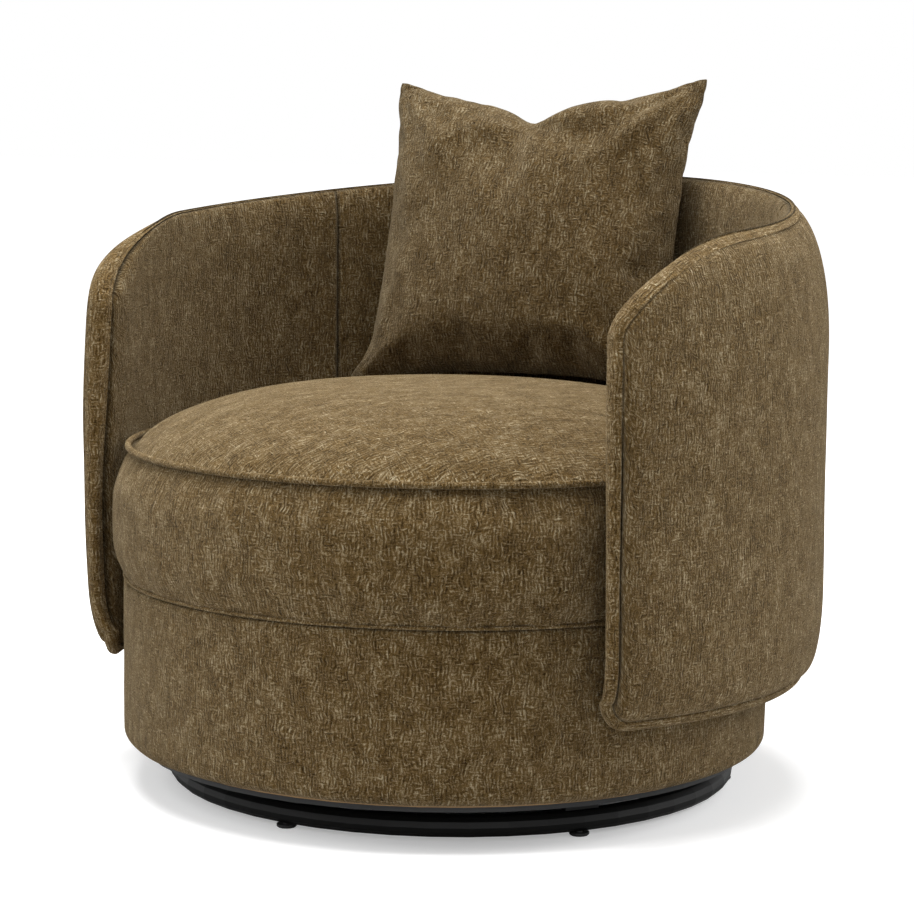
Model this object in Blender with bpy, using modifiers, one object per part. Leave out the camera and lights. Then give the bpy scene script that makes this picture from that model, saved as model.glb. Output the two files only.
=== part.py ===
"""Swivel accent chair: a round upholstered drum with a wrap-around shell, a loose boxed seat
cushion and a throw pillow, turning on a steel ring base. Metres, +Z up, the front faces -Y.
The origin lies on the floor under the middle of the chair's footprint."""

import math

import bmesh
import bpy
from mathutils import Matrix, Vector

# Fits
touch_gap = 0.0003
overrun = 0.004
merge_distance = 0.00001

# Ring base on the floor
ring_radius = 0.314
ring_tube_radius = 0.0125
ring_steps = 48
ring_sides = 12
small_sides = 10
glide_count = 6
glide_radius = 0.011
glide_height = 0.004
glide_stem_radius = 0.0042
glide_stem_depth = 0.006
glide_edge = 0.0015
glide_sides = 14
arm_width = 0.040
arm_thickness = 0.004
hub_radius = 0.095
hub_bore_radius = 0.026

# Swivel bearing
plate_radius = 0.152
plate_thickness = 0.0016
race_radius = 0.130
race_width = 0.024
race_height = 0.0030
race_channel_width = 0.0116
ball_radius = 0.0040
ball_count = 12
cage_width = 0.018
cage_thickness = 0.0016
pin_radius = 0.0120
pin_head_radius = 0.019
pin_head_height = 0.0028
bolt_radius = 0.0030
bolt_head_radius = 0.0056
bolt_head_height = 0.0030
bolt_circle = 0.066
bolt_count = 4
bolt_tail = 0.0015
board_bolt_depth = 0.009

# Drum, whose centre lies in front of the swivel axis
drum_offset = 0.014
drum_radius = 0.368
drum_bottom = 0.051
drum_corner = 0.013
seat_seam_height = 0.237
drum_pad_thickness = 0.015
hoop_thickness = 0.006
hoop_bottom = 0.053
board_bottom = 0.047
board_thickness = 0.012
board_recess_radius = 0.022
board_recess_depth = 0.005
plinth_width = 0.045
plinth_thickness = 0.005
dust_cover_thickness = 0.001
dust_cover_bore_radius = 0.170
post_count = 8
post_width = 0.040
post_depth = 0.024
post_setback = 0.001
spring_space = 0.0137
top_ring_thickness = 0.018
top_ring_width = 0.090
deck_thickness = 0.015
drum_steps = 48

# Sinuous springs
spring_count = 5
spring_pitch = 0.080
spring_wire_radius = 0.0019
spring_swing = 0.024
spring_loop_length = 0.085
spring_rise = 0.004
spring_end_length = 0.020

# Shell that wraps the drum, centred on the swivel axis
shell_wall = 0.057
shell_lap = 0.096
shell_front_angle = math.radians(58.4)
crest_flat_angle = math.radians(45)
crest_front_rise = 0.382
crest_back_rise = 0.441
corner_length = 0.152
corner_drop_length = 0.195
corner_height = 0.084
corner_power = 1.75
heel_radius = 0.020
liner_clearance = 0.0010
top_roll_height = 0.150
top_roll_share = 0.54
top_roll_arc_share = 0.96
crest_lift = 0.010
crest_lift_reach = 0.060
front_roll_length = 0.028
front_seam_depth = 0.005
bottom_roll_height = 0.092
bottom_seam_depth = 0.019
band_low_width = 0.0190
band_high_width = 0.0285
band_back_width = 0.015
band_widen_start_rise = 0.043
band_widen_end_rise = 0.263
band_narrow_length = 0.350
arm_belly_out = 0.006
arm_belly_forward = 0.005
arm_belly_length = 0.200
band_crown = 0.012
band_crest_crown = 0.003
liner_top_roll = 0.045
liner_front_roll = 0.060
liner_bottom_roll = 0.035
panel_thickness = 0.012
panel_liner_depth = 0.022
panel_top_drop = 0.075
panel_front_inset = 0.030
panel_bottom_inset = 0.022
split_blend = 0.060
corner_columns = 5
side_columns = 16
shell_rows = 8
panel_columns = 16
panel_rows = 3
band_sides = 4
roll_power = 3
column_power = 1.7
shell_bolt_drop = 0.060
shell_bolt_radius = 0.0040
shell_bolt_head_radius = 0.0075
shell_bolt_head_height = 0.004
shell_bolt_posts = (1, 2, 3, 4, 5, 6)
shell_bolt_end = 0.0015

# Seat cushion
cushion_front_overhang = 0.012
cushion_side_gap = 0.001
cushion_seam_inset = 0.003
cushion_welt_inset = 0.0088
cushion_side_height = 0.147
cushion_crown = 0.070
cushion_crown_power = 3.6
cushion_open_angle = math.radians(52)
cushion_closed_angle = math.radians(66)
cushion_steps = 48
cushion_side_rows = 6
cushion_crown_rows = 6
welt_radius = 0.004
welt_sides = 6

# Throw pillow
pillow_width = 0.404
pillow_length = 0.397
pillow_thickness = 0.135
pillow_edge_thickness = 0.005
pillow_waist = 0.014
pillow_bottom_waist = 0.037
pillow_chop_depth = 0.029
pillow_chop_width = 0.085
pillow_chop_shift = -0.012
pillow_fullness = 0.62
pillow_squareness = 2.6
pillow_cells = 14
pillow_x = -0.0595
pillow_back_gap = 0.1055
pillow_nestle = 0.0313
pillow_yaw = math.radians(12.4)
pillow_lean = math.radians(19)
pillow_roll = math.radians(-0.3)

# Sizes that follow the drum and its seat seam
shell_radius = drum_radius + shell_wall
cushion_front_radius = drum_radius + cushion_front_overhang
cushion_side_radius = drum_radius - cushion_side_gap
cushion_seam_radius = drum_radius - cushion_seam_inset
cushion_welt_radius = drum_radius - cushion_welt_inset
cushion_welt_height = seat_seam_height + cushion_side_height
shell_bottom = seat_seam_height - shell_lap
crest_front_height = seat_seam_height + crest_front_rise
crest_back_height = seat_seam_height + crest_back_rise
band_widen_start = seat_seam_height + band_widen_start_rise
band_widen_end = seat_seam_height + band_widen_end_rise
shell_bolt_height = seat_seam_height - shell_bolt_drop

# The footprint is centred on the origin, so the swivel axis stands a little in front of it
axis_y = (cushion_front_radius + drum_offset - shell_radius) / 2
drum_y = axis_y - drum_offset

# Heights that stack up from the floor
ring_height = glide_height + ring_tube_radius
arm_bottom = glide_height + 2 * ring_tube_radius + touch_gap
lower_plate_bottom = arm_bottom + arm_thickness + touch_gap
upper_plate_top = board_bottom - touch_gap
ball_height = (lower_plate_bottom + upper_plate_top) / 2
board_top = board_bottom + board_thickness
hoop_outer = drum_radius - drum_pad_thickness - touch_gap
hoop_inner = hoop_outer - hoop_thickness
board_radius = hoop_inner - touch_gap
deck_top = seat_seam_height - touch_gap
deck_bottom = deck_top - deck_thickness
top_ring_top = deck_bottom - spring_space
top_ring_height = top_ring_top - top_ring_thickness
top_ring_inner = board_radius - top_ring_width
liner_radius = drum_radius + liner_clearance
panel_inner = liner_radius + panel_liner_depth
panel_outer = panel_inner + panel_thickness
half_length = (math.pi - shell_front_angle) * shell_radius
pillow_back = drum_y + drum_radius - pillow_back_gap
cushion_top = cushion_welt_height + cushion_crown
pillow_height = cushion_top + pillow_length / 2 * math.cos(pillow_lean) - pillow_nestle


def clear_scene():
    for obj in list(bpy.data.objects):
        bpy.data.objects.remove(obj, do_unlink=True)


def new_collection(name):
    collection = bpy.data.collections.new(name)
    bpy.context.scene.collection.children.link(collection)
    return collection


def new_material(name, colour, roughness, metallic=0.0):
    material = bpy.data.materials.new(name)
    material.use_nodes = True
    shader = material.node_tree.nodes["Principled BSDF"]
    shader.inputs["Base Color"].default_value = (*colour, 1.0)
    shader.inputs["Roughness"].default_value = roughness
    shader.inputs["Metallic"].default_value = metallic
    return material


def new_empty(name, location, parent=None):
    empty = bpy.data.objects.new(name, None)
    empty.location = location
    empty.parent = parent
    chair.objects.link(empty)
    return empty


def add_object(name, mesh, material, parent, location=(0, 0, 0)):
    """Links a mesh as a sub-part under the empty that it turns or lifts with."""
    obj = bpy.data.objects.new(name, mesh)
    obj.location = location
    obj.parent = parent
    if material:
        mesh.materials.append(material)
    chair.objects.link(obj)
    return obj


def smooth(mesh, angle=math.radians(40)):
    mesh.shade_smooth()
    mesh.set_sharp_from_angle(angle=angle)


def mesh_from(name, form):
    mesh = bpy.data.meshes.new(name)
    form.to_mesh(mesh)
    form.free()
    return mesh


def turned(name, profile, material, parent, steps=drum_steps, location=(0, 0, 0)):
    """A turned piece: the profile runs down its outer side and back up the inner one."""
    form = bmesh.new()
    points = [form.verts.new((radius, 0, height)) for radius, height in profile]
    for first, second in zip(points, points[1:]):
        form.edges.new((first, second))
    if profile[0][0] > 0:
        form.edges.new((points[-1], points[0]))
    obj = add_object(name, mesh_from(name, form), material, parent, location)
    screw = obj.modifiers.new("Turn", "SCREW")
    screw.steps = steps
    screw.render_steps = steps
    screw.use_merge_vertices = True
    screw.merge_threshold = merge_distance
    return obj


def annulus(inner, outer, bottom, top):
    return [(outer, top), (outer, bottom), (inner, bottom), (inner, top)]


def cylinder_mesh(name, radius, length, sides, centre=(0, 0, 0), direction=(0, 0, 1)):
    form = bmesh.new()
    add_cylinder(form, radius, length, sides, centre, direction)
    return mesh_from(name, form)


def add_cylinder(form, radius, length, sides, centre=(0, 0, 0), direction=(0, 0, 1)):
    turn = Vector((0, 0, 1)).rotation_difference(Vector(direction)).to_matrix().to_4x4()
    bmesh.ops.create_cone(
        form,
        cap_ends=True,
        segments=sides,
        radius1=radius,
        radius2=radius,
        depth=length,
        matrix=Matrix.Translation(centre) @ turn,
    )


def add_box(form, size, centre, angle=0.0):
    turn = Matrix.Rotation(angle, 4, "Z")
    bmesh.ops.create_cube(
        form, size=1, matrix=Matrix.Translation(centre) @ turn @ Matrix.Diagonal((*size, 1))
    )


def cutter(name, form, parent=None):
    """Links a helper shape to the cutters: it shapes other pieces and isn't one itself."""
    obj = bpy.data.objects.new(name, mesh_from(name, form))
    obj.parent = parent
    obj.hide_render = True
    obj.display_type = "WIRE"
    cutters.objects.link(obj)
    return obj


def boolean(obj, other, operation="DIFFERENCE"):
    modifier = obj.modifiers.new(other.name, "BOOLEAN")
    modifier.operation = operation
    modifier.solver = "EXACT"
    modifier.object = other


def ease(share):
    share = min(1.0, max(0.0, share))
    return share * share * (3 - 2 * share)


def on_circle(radius, angle, height=0.0, centre_y=0.0):
    """A point at an angle from the front, which is -Y, turning towards +X."""
    return Vector((radius * math.sin(angle), centre_y - radius * math.cos(angle), height))


def angles(count, start=0.0):
    return [start + 2 * math.pi * index / count for index in range(count)]


# Ring base


def build_ring(parent, steel):
    bpy.ops.mesh.primitive_torus_add(
        major_radius=ring_radius,
        minor_radius=ring_tube_radius,
        major_segments=ring_steps,
        minor_segments=ring_sides,
        location=(0, 0, ring_height),
    )
    ring = bpy.context.object
    ring.name = "base_ring"
    ring.data.materials.append(steel)
    move_to_chair(ring, parent)
    ring.data.shade_smooth()
    sockets = bmesh.new()
    stem_hole = glide_stem_radius + touch_gap
    hole_length = glide_stem_depth + touch_gap + glide_height
    for angle in angles(glide_count):
        middle = on_circle(ring_radius, angle, glide_height + glide_stem_depth + touch_gap - hole_length / 2)
        add_cylinder(sockets, stem_hole, hole_length, small_sides, middle)
    boolean(ring, cutter("glide_sockets", sockets, parent))
    return ring


def move_to_chair(obj, parent):
    for collection in list(obj.users_collection):
        collection.objects.unlink(obj)
    chair.objects.link(obj)
    obj.parent = parent


def build_glides(parent, plastic):
    """Nylon glides: a foot under the tube and a stem pressed up into it."""
    foot_top = glide_height - touch_gap
    profile = [
        (0, glide_height + glide_stem_depth),
        (glide_stem_radius, glide_height + glide_stem_depth),
        (glide_stem_radius, foot_top),
        (glide_radius, foot_top),
        (glide_radius, glide_edge),
        (glide_radius - glide_edge, 0),
        (0, 0),
    ]
    for index, angle in enumerate(angles(glide_count)):
        turned(f"glide_{index + 1}", profile, plastic, parent, glide_sides, on_circle(ring_radius, angle))


def build_spider(parent, steel):
    """Three flat bars cross at a hub and lie on the ring."""
    middle = arm_bottom + arm_thickness / 2
    mesh = cylinder_mesh("base_spider", hub_radius, arm_thickness, drum_steps // 2, (0, 0, middle))
    spider = add_object("base_spider", mesh, steel, parent)
    reach = 2 * (ring_radius + ring_tube_radius / 2)
    for index in range(glide_count // 2):
        bar = bmesh.new()
        add_box(bar, (arm_width, reach, arm_thickness), (0, 0, middle), 2 * math.pi * index / glide_count)
        boolean(spider, cutter(f"spider_bar_{index + 1}", bar, parent), "UNION")
    bore = bmesh.new()
    add_cylinder(bore, hub_bore_radius, arm_thickness + 2 * overrun, small_sides * 2, (0, 0, middle))
    boolean(spider, cutter("hub_bore", bore, parent))
    return spider


# Swivel bearing


def race_profile(flat, rise):
    """Plate section from the flat that bears on its support, with the balls' channel in its race."""
    inner = flat + rise * plate_thickness
    crown = inner + rise * race_height
    floor = ball_height - rise * (ball_radius + touch_gap)
    half = race_width / 2
    channel = race_channel_width / 2
    return [
        (plate_radius, flat),
        (plate_radius, inner),
        (race_radius + half, inner),
        (race_radius + half, crown),
        (race_radius + channel, crown),
        (race_radius + channel, floor),
        (race_radius - channel, floor),
        (race_radius - channel, crown),
        (race_radius - half, crown),
        (race_radius - half, inner),
        (pin_radius, inner),
        (pin_radius, flat),
    ]


def build_plates(base, seat, steel):
    steps = drum_steps // 2
    lower = turned("swivel_lower_plate", race_profile(lower_plate_bottom, 1)[::-1], steel, base, steps)
    upper = turned("swivel_upper_plate", race_profile(upper_plate_top, -1), steel, seat, steps)
    return lower, upper


def build_cage(parent, steel):
    """The balls sit in a flat ring that rolls round between the two races."""
    half = cage_width / 2
    bottom = ball_height - cage_thickness / 2
    profile = annulus(race_radius - half, race_radius + half, bottom, bottom + cage_thickness)
    cage = turned("ball_cage", profile, steel, parent, ball_count * 4)
    balls = bmesh.new()
    for angle in angles(ball_count):
        place = Matrix.Translation(on_circle(race_radius, angle, ball_height))
        bmesh.ops.create_uvsphere(balls, u_segments=6, v_segments=6, radius=ball_radius, matrix=place)
    boolean(cage, cutter("balls", balls, parent), "UNION")
    return cage


def build_pin(parent, steel):
    """The centre rivet that holds the two plates together."""
    shaft = pin_radius - touch_gap
    top = upper_plate_top + touch_gap + pin_head_height
    bottom = lower_plate_bottom - touch_gap - pin_head_height
    profile = [
        (0, top),
        (pin_head_radius, top),
        (pin_head_radius, top - pin_head_height),
        (shaft, top - pin_head_height),
        (shaft, bottom + pin_head_height),
        (pin_head_radius, bottom + pin_head_height),
        (pin_head_radius, bottom),
        (0, bottom),
    ]
    turned("swivel_pin", profile, steel, parent, small_sides * 2)


def bolt_profile(seat, rise, depth, radius, head_radius, head_height):
    """A bolt whose head stands on the flat at seat, with its shank on the other side."""
    under = seat + rise * touch_gap
    head = under + rise * head_height
    tail = under - rise * depth
    crown = [(0, head), (head_radius, head), (head_radius, under)]
    shank = [(radius, under), (radius, tail), (0, tail)]
    points = crown + shank
    return points if rise > 0 else points[::-1]


def build_plate_bolts(base, seat, steel, lower, upper, spider, board):
    """Lower bolts hold the plate to the spider, upper ones hold the other plate to the board."""
    lower_seat = lower_plate_bottom + plate_thickness
    lower_depth = plate_thickness + arm_thickness + bolt_tail + touch_gap
    upper_seat = upper_plate_top - plate_thickness
    turn = math.pi / bolt_count
    rows = (
        ("base_bolt", base, lower_seat, 1, lower_depth, 0, (lower, spider)),
        ("board_bolt", seat, upper_seat, -1, plate_thickness + board_bolt_depth, turn, (upper, board)),
    )
    for name, parent, place, rise, depth, start, held in rows:
        holes = bmesh.new()
        length = depth + 2 * touch_gap + overrun
        for index, angle in enumerate(angles(bolt_count, start)):
            spot = on_circle(bolt_circle, angle)
            section = bolt_profile(place, rise, depth, bolt_radius, bolt_head_radius, bolt_head_height)
            turned(f"{name}_{index + 1}", section, steel, parent, small_sides, spot)
            middle = place + rise * (overrun - length / 2)
            spot.z = middle
            add_cylinder(holes, bolt_radius + touch_gap, length, small_sides, spot)
        holes_cutter = cutter(f"{name}_holes", holes, parent)
        for piece in held:
            boolean(piece, holes_cutter)


# Drum


def disc(radius, bottom, top):
    return [(0, top), (radius, top), (radius, bottom), (0, bottom)]


def build_board(parent, axis, wood):
    """The drum's floor, with a recess for the rivet's head on the axis, off the drum's centre."""
    board = turned("base_board", disc(board_radius, board_bottom, board_top), wood, parent)
    recess = bmesh.new()
    length = board_recess_depth + overrun
    middle = board_bottom + board_recess_depth - length / 2
    add_cylinder(recess, board_recess_radius, length, small_sides * 2, (0, 0, middle))
    boolean(board, cutter("board_recess", recess, axis))
    return board


def build_under_trim(parent, black, cloth):
    top = board_bottom - touch_gap
    inner = board_radius - plinth_width
    turned("plinth_ring", annulus(inner, board_radius, top - plinth_thickness, top), black, parent)
    reach = inner - touch_gap
    cover = annulus(dust_cover_bore_radius, reach, top - dust_cover_thickness, top)
    turned("dust_cover", cover, cloth, parent)


def post_face():
    """The distance from the drum's centre to the inner face of its posts."""
    reach = board_radius - post_setback
    return math.sqrt(reach**2 - (post_width / 2) ** 2) - post_depth


def build_posts(parent, wood, holes):
    bottom = board_top + touch_gap
    height = top_ring_height - touch_gap - bottom
    middle = post_face() + post_depth / 2
    for index, angle in enumerate(angles(post_count, math.pi / post_count)):
        form = bmesh.new()
        spot = on_circle(middle, angle, bottom + height / 2)
        add_box(form, (post_width, post_depth, height), spot, angle)
        post = add_object(f"drum_post_{index + 1}", mesh_from("drum_post", form), wood, parent)
        if index in shell_bolt_posts:
            boolean(post, holes)


def build_drum(parent, wood, board_skin, fabric, felt, holes):
    profile = annulus(top_ring_inner, board_radius, top_ring_height, top_ring_top)
    turned("drum_top_ring", profile, wood, parent)
    hoop_top = deck_bottom - touch_gap
    strip = annulus(hoop_inner, hoop_outer, hoop_bottom, hoop_top)
    hoop = turned("drum_hoop", strip, board_skin, parent)
    boolean(hoop, holes)
    inner = hoop_outer + touch_gap
    section = [(drum_radius, deck_top)]
    for share in (0, 1 / 3, 2 / 3, 1):
        swing = share * math.pi / 2
        inset = drum_corner * (1 - math.cos(swing))
        section.append((drum_radius - inset, drum_bottom + drum_corner * (1 - math.sin(swing))))
    section += [(inner, drum_bottom), (inner, deck_top)]
    pad = turned("drum_pad", section, fabric, parent)
    boolean(pad, holes)
    turned("seat_deck", disc(hoop_outer, deck_bottom, deck_top), felt, parent)


def spring_path(offset):
    """A sinuous spring: a wave that lies on the top ring at both ends and rises in the middle."""
    rest = top_ring_top + touch_gap + spring_wire_radius
    reach = math.sqrt((top_ring_inner + spring_end_length) ** 2 - (abs(offset) + spring_swing / 2) ** 2)
    loops = max(2, round(2 * (reach - spring_end_length) / spring_loop_length))
    steps = 4 * loops
    run = 2 * (reach - spring_end_length)
    path = [Vector((offset, -reach, rest))]
    for step in range(steps + 1):
        share = step / steps
        side = spring_swing * math.sin(2 * math.pi * loops * share)
        lift = spring_rise * math.sin(math.pi * share)
        path.append(Vector((offset + side, (share - 1 / 2) * run, rest + lift)))
    path.append(Vector((offset, reach, rest)))
    return path


def mesh_of_curve(name, path, radius, resolution):
    curve = bpy.data.curves.new(name, "CURVE")
    curve.dimensions = "3D"
    curve.bevel_depth = radius
    curve.bevel_resolution = resolution
    curve.use_fill_caps = True
    spline = curve.splines.new("POLY")
    spline.points.add(len(path) - 1)
    for point, place in zip(spline.points, path):
        point.co = (*place, 1)
    guide = bpy.data.objects.new(name, curve)
    chair.objects.link(guide)
    graph = bpy.context.evaluated_depsgraph_get()
    mesh = bpy.data.meshes.new_from_object(guide.evaluated_get(graph))
    bpy.data.objects.remove(guide, do_unlink=True)
    form = bmesh.new()
    form.from_mesh(mesh)
    bmesh.ops.remove_doubles(form, verts=form.verts, dist=merge_distance)
    form.to_mesh(mesh)
    form.free()
    return mesh


def build_springs(parent, steel):
    first = -(spring_count - 1) / 2
    for index in range(spring_count):
        offset = (first + index) * spring_pitch
        mesh = mesh_of_curve(f"seat_spring_{index + 1}", spring_path(offset), spring_wire_radius, 1)
        add_object(f"seat_spring_{index + 1}", mesh, steel, parent)


# Shell: places on it are an arc length from the arm's front edge, a height and a depth


def crest_height(length):
    angle = shell_front_angle + length / shell_radius
    share = max(0.0, (angle - crest_flat_angle) / (math.pi - crest_flat_angle))
    rise = (1 - math.cos(math.pi * share)) / 2
    return crest_front_height + (crest_back_height - crest_front_height) * rise


def corner_drop(share):
    """How far the rounded front corner lies under the crest, from 1 at the edge to 0."""
    left = 1 - min(1.0, max(0.0, share))
    return 1 - (1 - left**corner_power) ** (1 / corner_power)


def top_edge(length):
    return crest_height(length) - corner_height * corner_drop(length / corner_drop_length)


def bottom_edge(length):
    left = 1 - min(1.0, max(0.0, length / heel_radius))
    return shell_bottom + heel_radius * (1 - math.sqrt(1 - left**2))


def roll(share):
    """A quarter round, from 1 on the edge to 0 where the roll has run out."""
    left = 1 - min(1.0, max(0.0, share))
    return 1 - math.sqrt(1 - left**2)


def shell_thickness(length):
    """From the outer circle to the liner's circle, which is centred on the drum."""
    angle = shell_front_angle + length / shell_radius
    ahead = drum_offset * math.cos(angle)
    across = drum_offset * math.sin(angle)
    return shell_radius - ahead - math.sqrt(liner_radius**2 - across**2)


def top_seam_depth(length):
    full = top_roll_share * shell_thickness(length)
    return front_seam_depth + (full - front_seam_depth) * ease(length / corner_length)


def joined_rolls(values):
    return sum(value**roll_power for value in values) ** (1 / roll_power)


def open_roll(share):
    """A roll that stops short of a quarter round, so that it meets the seam on a slope."""
    left = top_roll_arc_share * (1 - min(1.0, max(0.0, share)))
    return (1 - math.sqrt(1 - left**2)) / (1 - math.sqrt(1 - top_roll_arc_share**2))


def outer_depth(length, height):
    top = top_seam_depth(length) * open_roll((top_edge(length) - height) / top_roll_height)
    front = front_seam_depth * roll(length / front_roll_length)
    bottom = bottom_seam_depth * roll((height - bottom_edge(length)) / bottom_roll_height)
    return joined_rolls((top, front, bottom))


def seam_depth(length, weights):
    """The depth of the band's first seam near the top, front and bottom edges, by their weights."""
    depths = (top_seam_depth(length), front_seam_depth, bottom_seam_depth)
    total = sum(weights)
    return sum(weight * depth for weight, depth in zip(weights, depths)) / total if total else 0.0


def band_width(length, height):
    """The band widens up the arm's front and narrows again along the crest."""
    back = ease(length / band_narrow_length)
    high = band_high_width + (band_back_width - band_high_width) * back
    risen = ease((height - band_widen_start) / (band_widen_end - band_widen_start))
    return band_low_width + (high - band_low_width) * risen


def liner_depth(length, height):
    """The inner surface: it rolls from the band's second seam to its full depth."""
    thickness = shell_thickness(length)
    weights = (
        roll((top_edge(length) - height) / liner_top_roll),
        roll(length / liner_front_roll),
        roll((height - bottom_edge(length)) / liner_bottom_roll),
    )
    seam = seam_depth(length, weights) + band_width(length, height)
    return thickness - (thickness - seam) * min(1.0, joined_rolls(weights))


def split_depth(length, height):
    """Where the outer pad meets the liner: on the panel, and at the edges halfway over the band."""
    panel = shell_thickness(length) - panel_liner_depth - panel_thickness / 2
    distances = (top_edge(length) - height, length, height - bottom_edge(length))
    weights = [max(0.0, 1 - distance / split_blend) ** 2 for distance in distances]
    edge = seam_depth(length, weights) + band_width(length, height) / 2
    return panel + (edge - panel) * max(weights)


def height_over_seam(length, height, depth):
    """The crest climbs from the band's outer seam to its inner one."""
    near = 1 - ease((top_edge(length) - height) / crest_lift_reach)
    across = (depth - top_seam_depth(length)) / band_width(length, top_edge(length))
    return crest_lift * ease(length / corner_length) * near * min(1.0, max(0.0, across))


def shell_point(length, height, depth):
    """The stuffed arm swells outwards and forwards at half its height."""
    lift = height_over_seam(length, height, depth)
    risen = min(1.0, max(0.0, (height - shell_bottom) / (crest_front_height - shell_bottom)))
    belly = math.sin(math.pi * risen) * (1 - ease(length / arm_belly_length))
    angle = shell_front_angle + (length - arm_belly_forward * belly) / shell_radius
    return on_circle(shell_radius + arm_belly_out * belly - depth, angle, height + lift)


def column_length(share):
    """Columns crowd towards the arm's front edge and are even along the side and back."""
    corner_share = corner_columns / (corner_columns + side_columns)
    if share < corner_share:
        return corner_length * (share / corner_share) ** column_power
    return corner_length + (half_length - corner_length) * (share - corner_share) / (1 - corner_share)


def row_height(length, share):
    spread = (1 - math.cos(math.pi * share)) / 2
    return bottom_edge(length) + (top_edge(length) - bottom_edge(length)) * spread


def lofted(name, columns, rows, place, thick=True, open_end=False):
    """A grid whose shares along, across and through the piece become places.

    It is cut into triangles before it is doubled, so that pieces which share a face nest.
    """
    form = bmesh.new()
    centred = Matrix.Translation((1 / 2, 1 / 2, 0))
    bmesh.ops.create_grid(form, x_segments=columns, y_segments=rows, size=1 / 2, matrix=centred)
    bmesh.ops.triangulate(form, faces=form.faces)
    if thick:
        grown = bmesh.ops.extrude_face_region(form, geom=form.faces[:])
        for item in grown["geom"]:
            if isinstance(item, bmesh.types.BMVert):
                item.co.z = 1
    if open_end:
        last = 1 - 1 / (2 * columns)
        ends = [face for face in form.faces if all(vertex.co.x > last for vertex in face.verts)]
        bmesh.ops.delete(form, geom=ends, context="FACES_ONLY")
    for vertex in form.verts:
        vertex.co = place(*vertex.co)
    bmesh.ops.remove_doubles(form, verts=form.verts, dist=merge_distance)
    bmesh.ops.recalc_face_normals(form, faces=form.faces)
    mesh = mesh_from(name, form)
    smooth(mesh)
    return mesh


def mirrored(obj):
    mirror = obj.modifiers.new("Both arms", "MIRROR")
    mirror.use_axis[0] = True
    mirror.merge_threshold = merge_distance
    return obj


def pad_mesh(name, outer, inner):
    def place(along, up, through):
        length = column_length(along)
        height = row_height(length, up)
        depth = outer(length, height) * (1 - through) + inner(length, height) * through
        return shell_point(length, height, depth)

    return lofted(name, corner_columns + side_columns, shell_rows, place, open_end=True)


def panel_mesh(name, extra):
    """The bent plywood panel, grown by extra on every side."""
    start = panel_front_inset - extra

    def place(along, up, through):
        length = start + (half_length - start) * along
        bottom = shell_bottom + panel_bottom_inset - extra
        top = top_edge(length) - panel_top_drop + extra
        depth = shell_thickness(length) - panel_liner_depth
        depth += extra - (panel_thickness + 2 * extra) * (1 - through)
        return shell_point(length, bottom + (top - bottom) * up, depth)

    return lofted(name, panel_columns, panel_rows, place, open_end=True)


def edge_path():
    """The shell's outline from the back's foot, round the arm's front, to the back's crest."""
    columns = corner_columns + side_columns
    lengths = [column_length(index / columns) for index in range(columns + 1)]
    path = [(length, bottom_edge(length)) for length in reversed(lengths)]
    path += [(0.0, row_height(0.0, index / shell_rows)) for index in range(1, shell_rows)]
    path += [(length, top_edge(length)) for length in lengths]
    return path


def edge_normals(path):
    normals = []
    for index in range(len(path)):
        before = Vector(path[max(0, index - 1)])
        after = Vector(path[min(len(path) - 1, index + 1)])
        run = (after - before).normalized()
        normals.append(Vector((-run.y, run.x)))
    normals[0] = Vector((0, -1))
    normals[-1] = Vector((0, 1))
    return normals


def band_section(length, height, share):
    """Half round at the arm's front and foot, a low arch along the crest: across, then proud."""
    arch = ease(length / corner_length)
    arch *= ease((height - band_widen_start) / (band_widen_end - band_widen_start))
    across = (1 - math.cos(math.pi * share)) / 2
    crown = band_crown + (band_crest_crown - band_crown) * arch
    width = band_width(length, height) * (across + (share - across) * arch)
    return width, touch_gap + crown * math.sin(math.pi * share)


def band_mesh(name):
    """The boxing strip that runs round the whole edge between its two seams."""
    path = edge_path()
    normals = edge_normals(path)

    def place(along, around, _):
        index = round(along * (len(path) - 1))
        step = round(around * (band_sides + 1))
        share = 0.0 if step > band_sides else step / band_sides
        length, height = path[index]
        across, proud = band_section(length, height, share)
        spot = Vector((length, height)) + normals[index] * proud
        return shell_point(spot.x, spot.y, outer_depth(length, height) + across)

    return lofted(name, len(path) - 1, band_sides + 1, place, thick=False)


def build_shell(parent, wood, fabric, band_fabric, holes):
    panel = mirrored(add_object("shell_panel", panel_mesh("shell_panel", 0.0), wood, parent))
    boolean(panel, holes)
    pocket = mirrored(add_object("panel_pocket", panel_mesh("panel_pocket", touch_gap), None, parent))
    chair.objects.unlink(pocket)
    cutters.objects.link(pocket)
    pocket.hide_render = True
    pocket.display_type = "WIRE"
    half_gap = touch_gap / 2
    outer = pad_mesh("shell_outer_pad", outer_depth, lambda *spot: split_depth(*spot) - half_gap)
    outer_pad = mirrored(add_object("shell_outer_pad", outer, fabric, parent))
    boolean(outer_pad, pocket)
    inner = pad_mesh("shell_liner", lambda *spot: split_depth(*spot) + half_gap, liner_depth)
    liner = mirrored(add_object("shell_liner", inner, fabric, parent))
    boolean(liner, pocket)
    boolean(liner, holes)
    mirrored(add_object("shell_band", band_mesh("shell_band"), band_fabric, parent))


def shell_bolt_holes(parent):
    start = post_face() - overrun
    end = panel_outer - shell_bolt_end
    form = bmesh.new()
    for index in shell_bolt_posts:
        angle = angles(post_count, math.pi / post_count)[index]
        middle = on_circle((start + end) / 2, angle, shell_bolt_height)
        outward = on_circle(1, angle)
        add_cylinder(form, shell_bolt_radius + touch_gap, end - start, small_sides, middle, outward)
    return cutter("shell_bolt_holes", form, parent)


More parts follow.
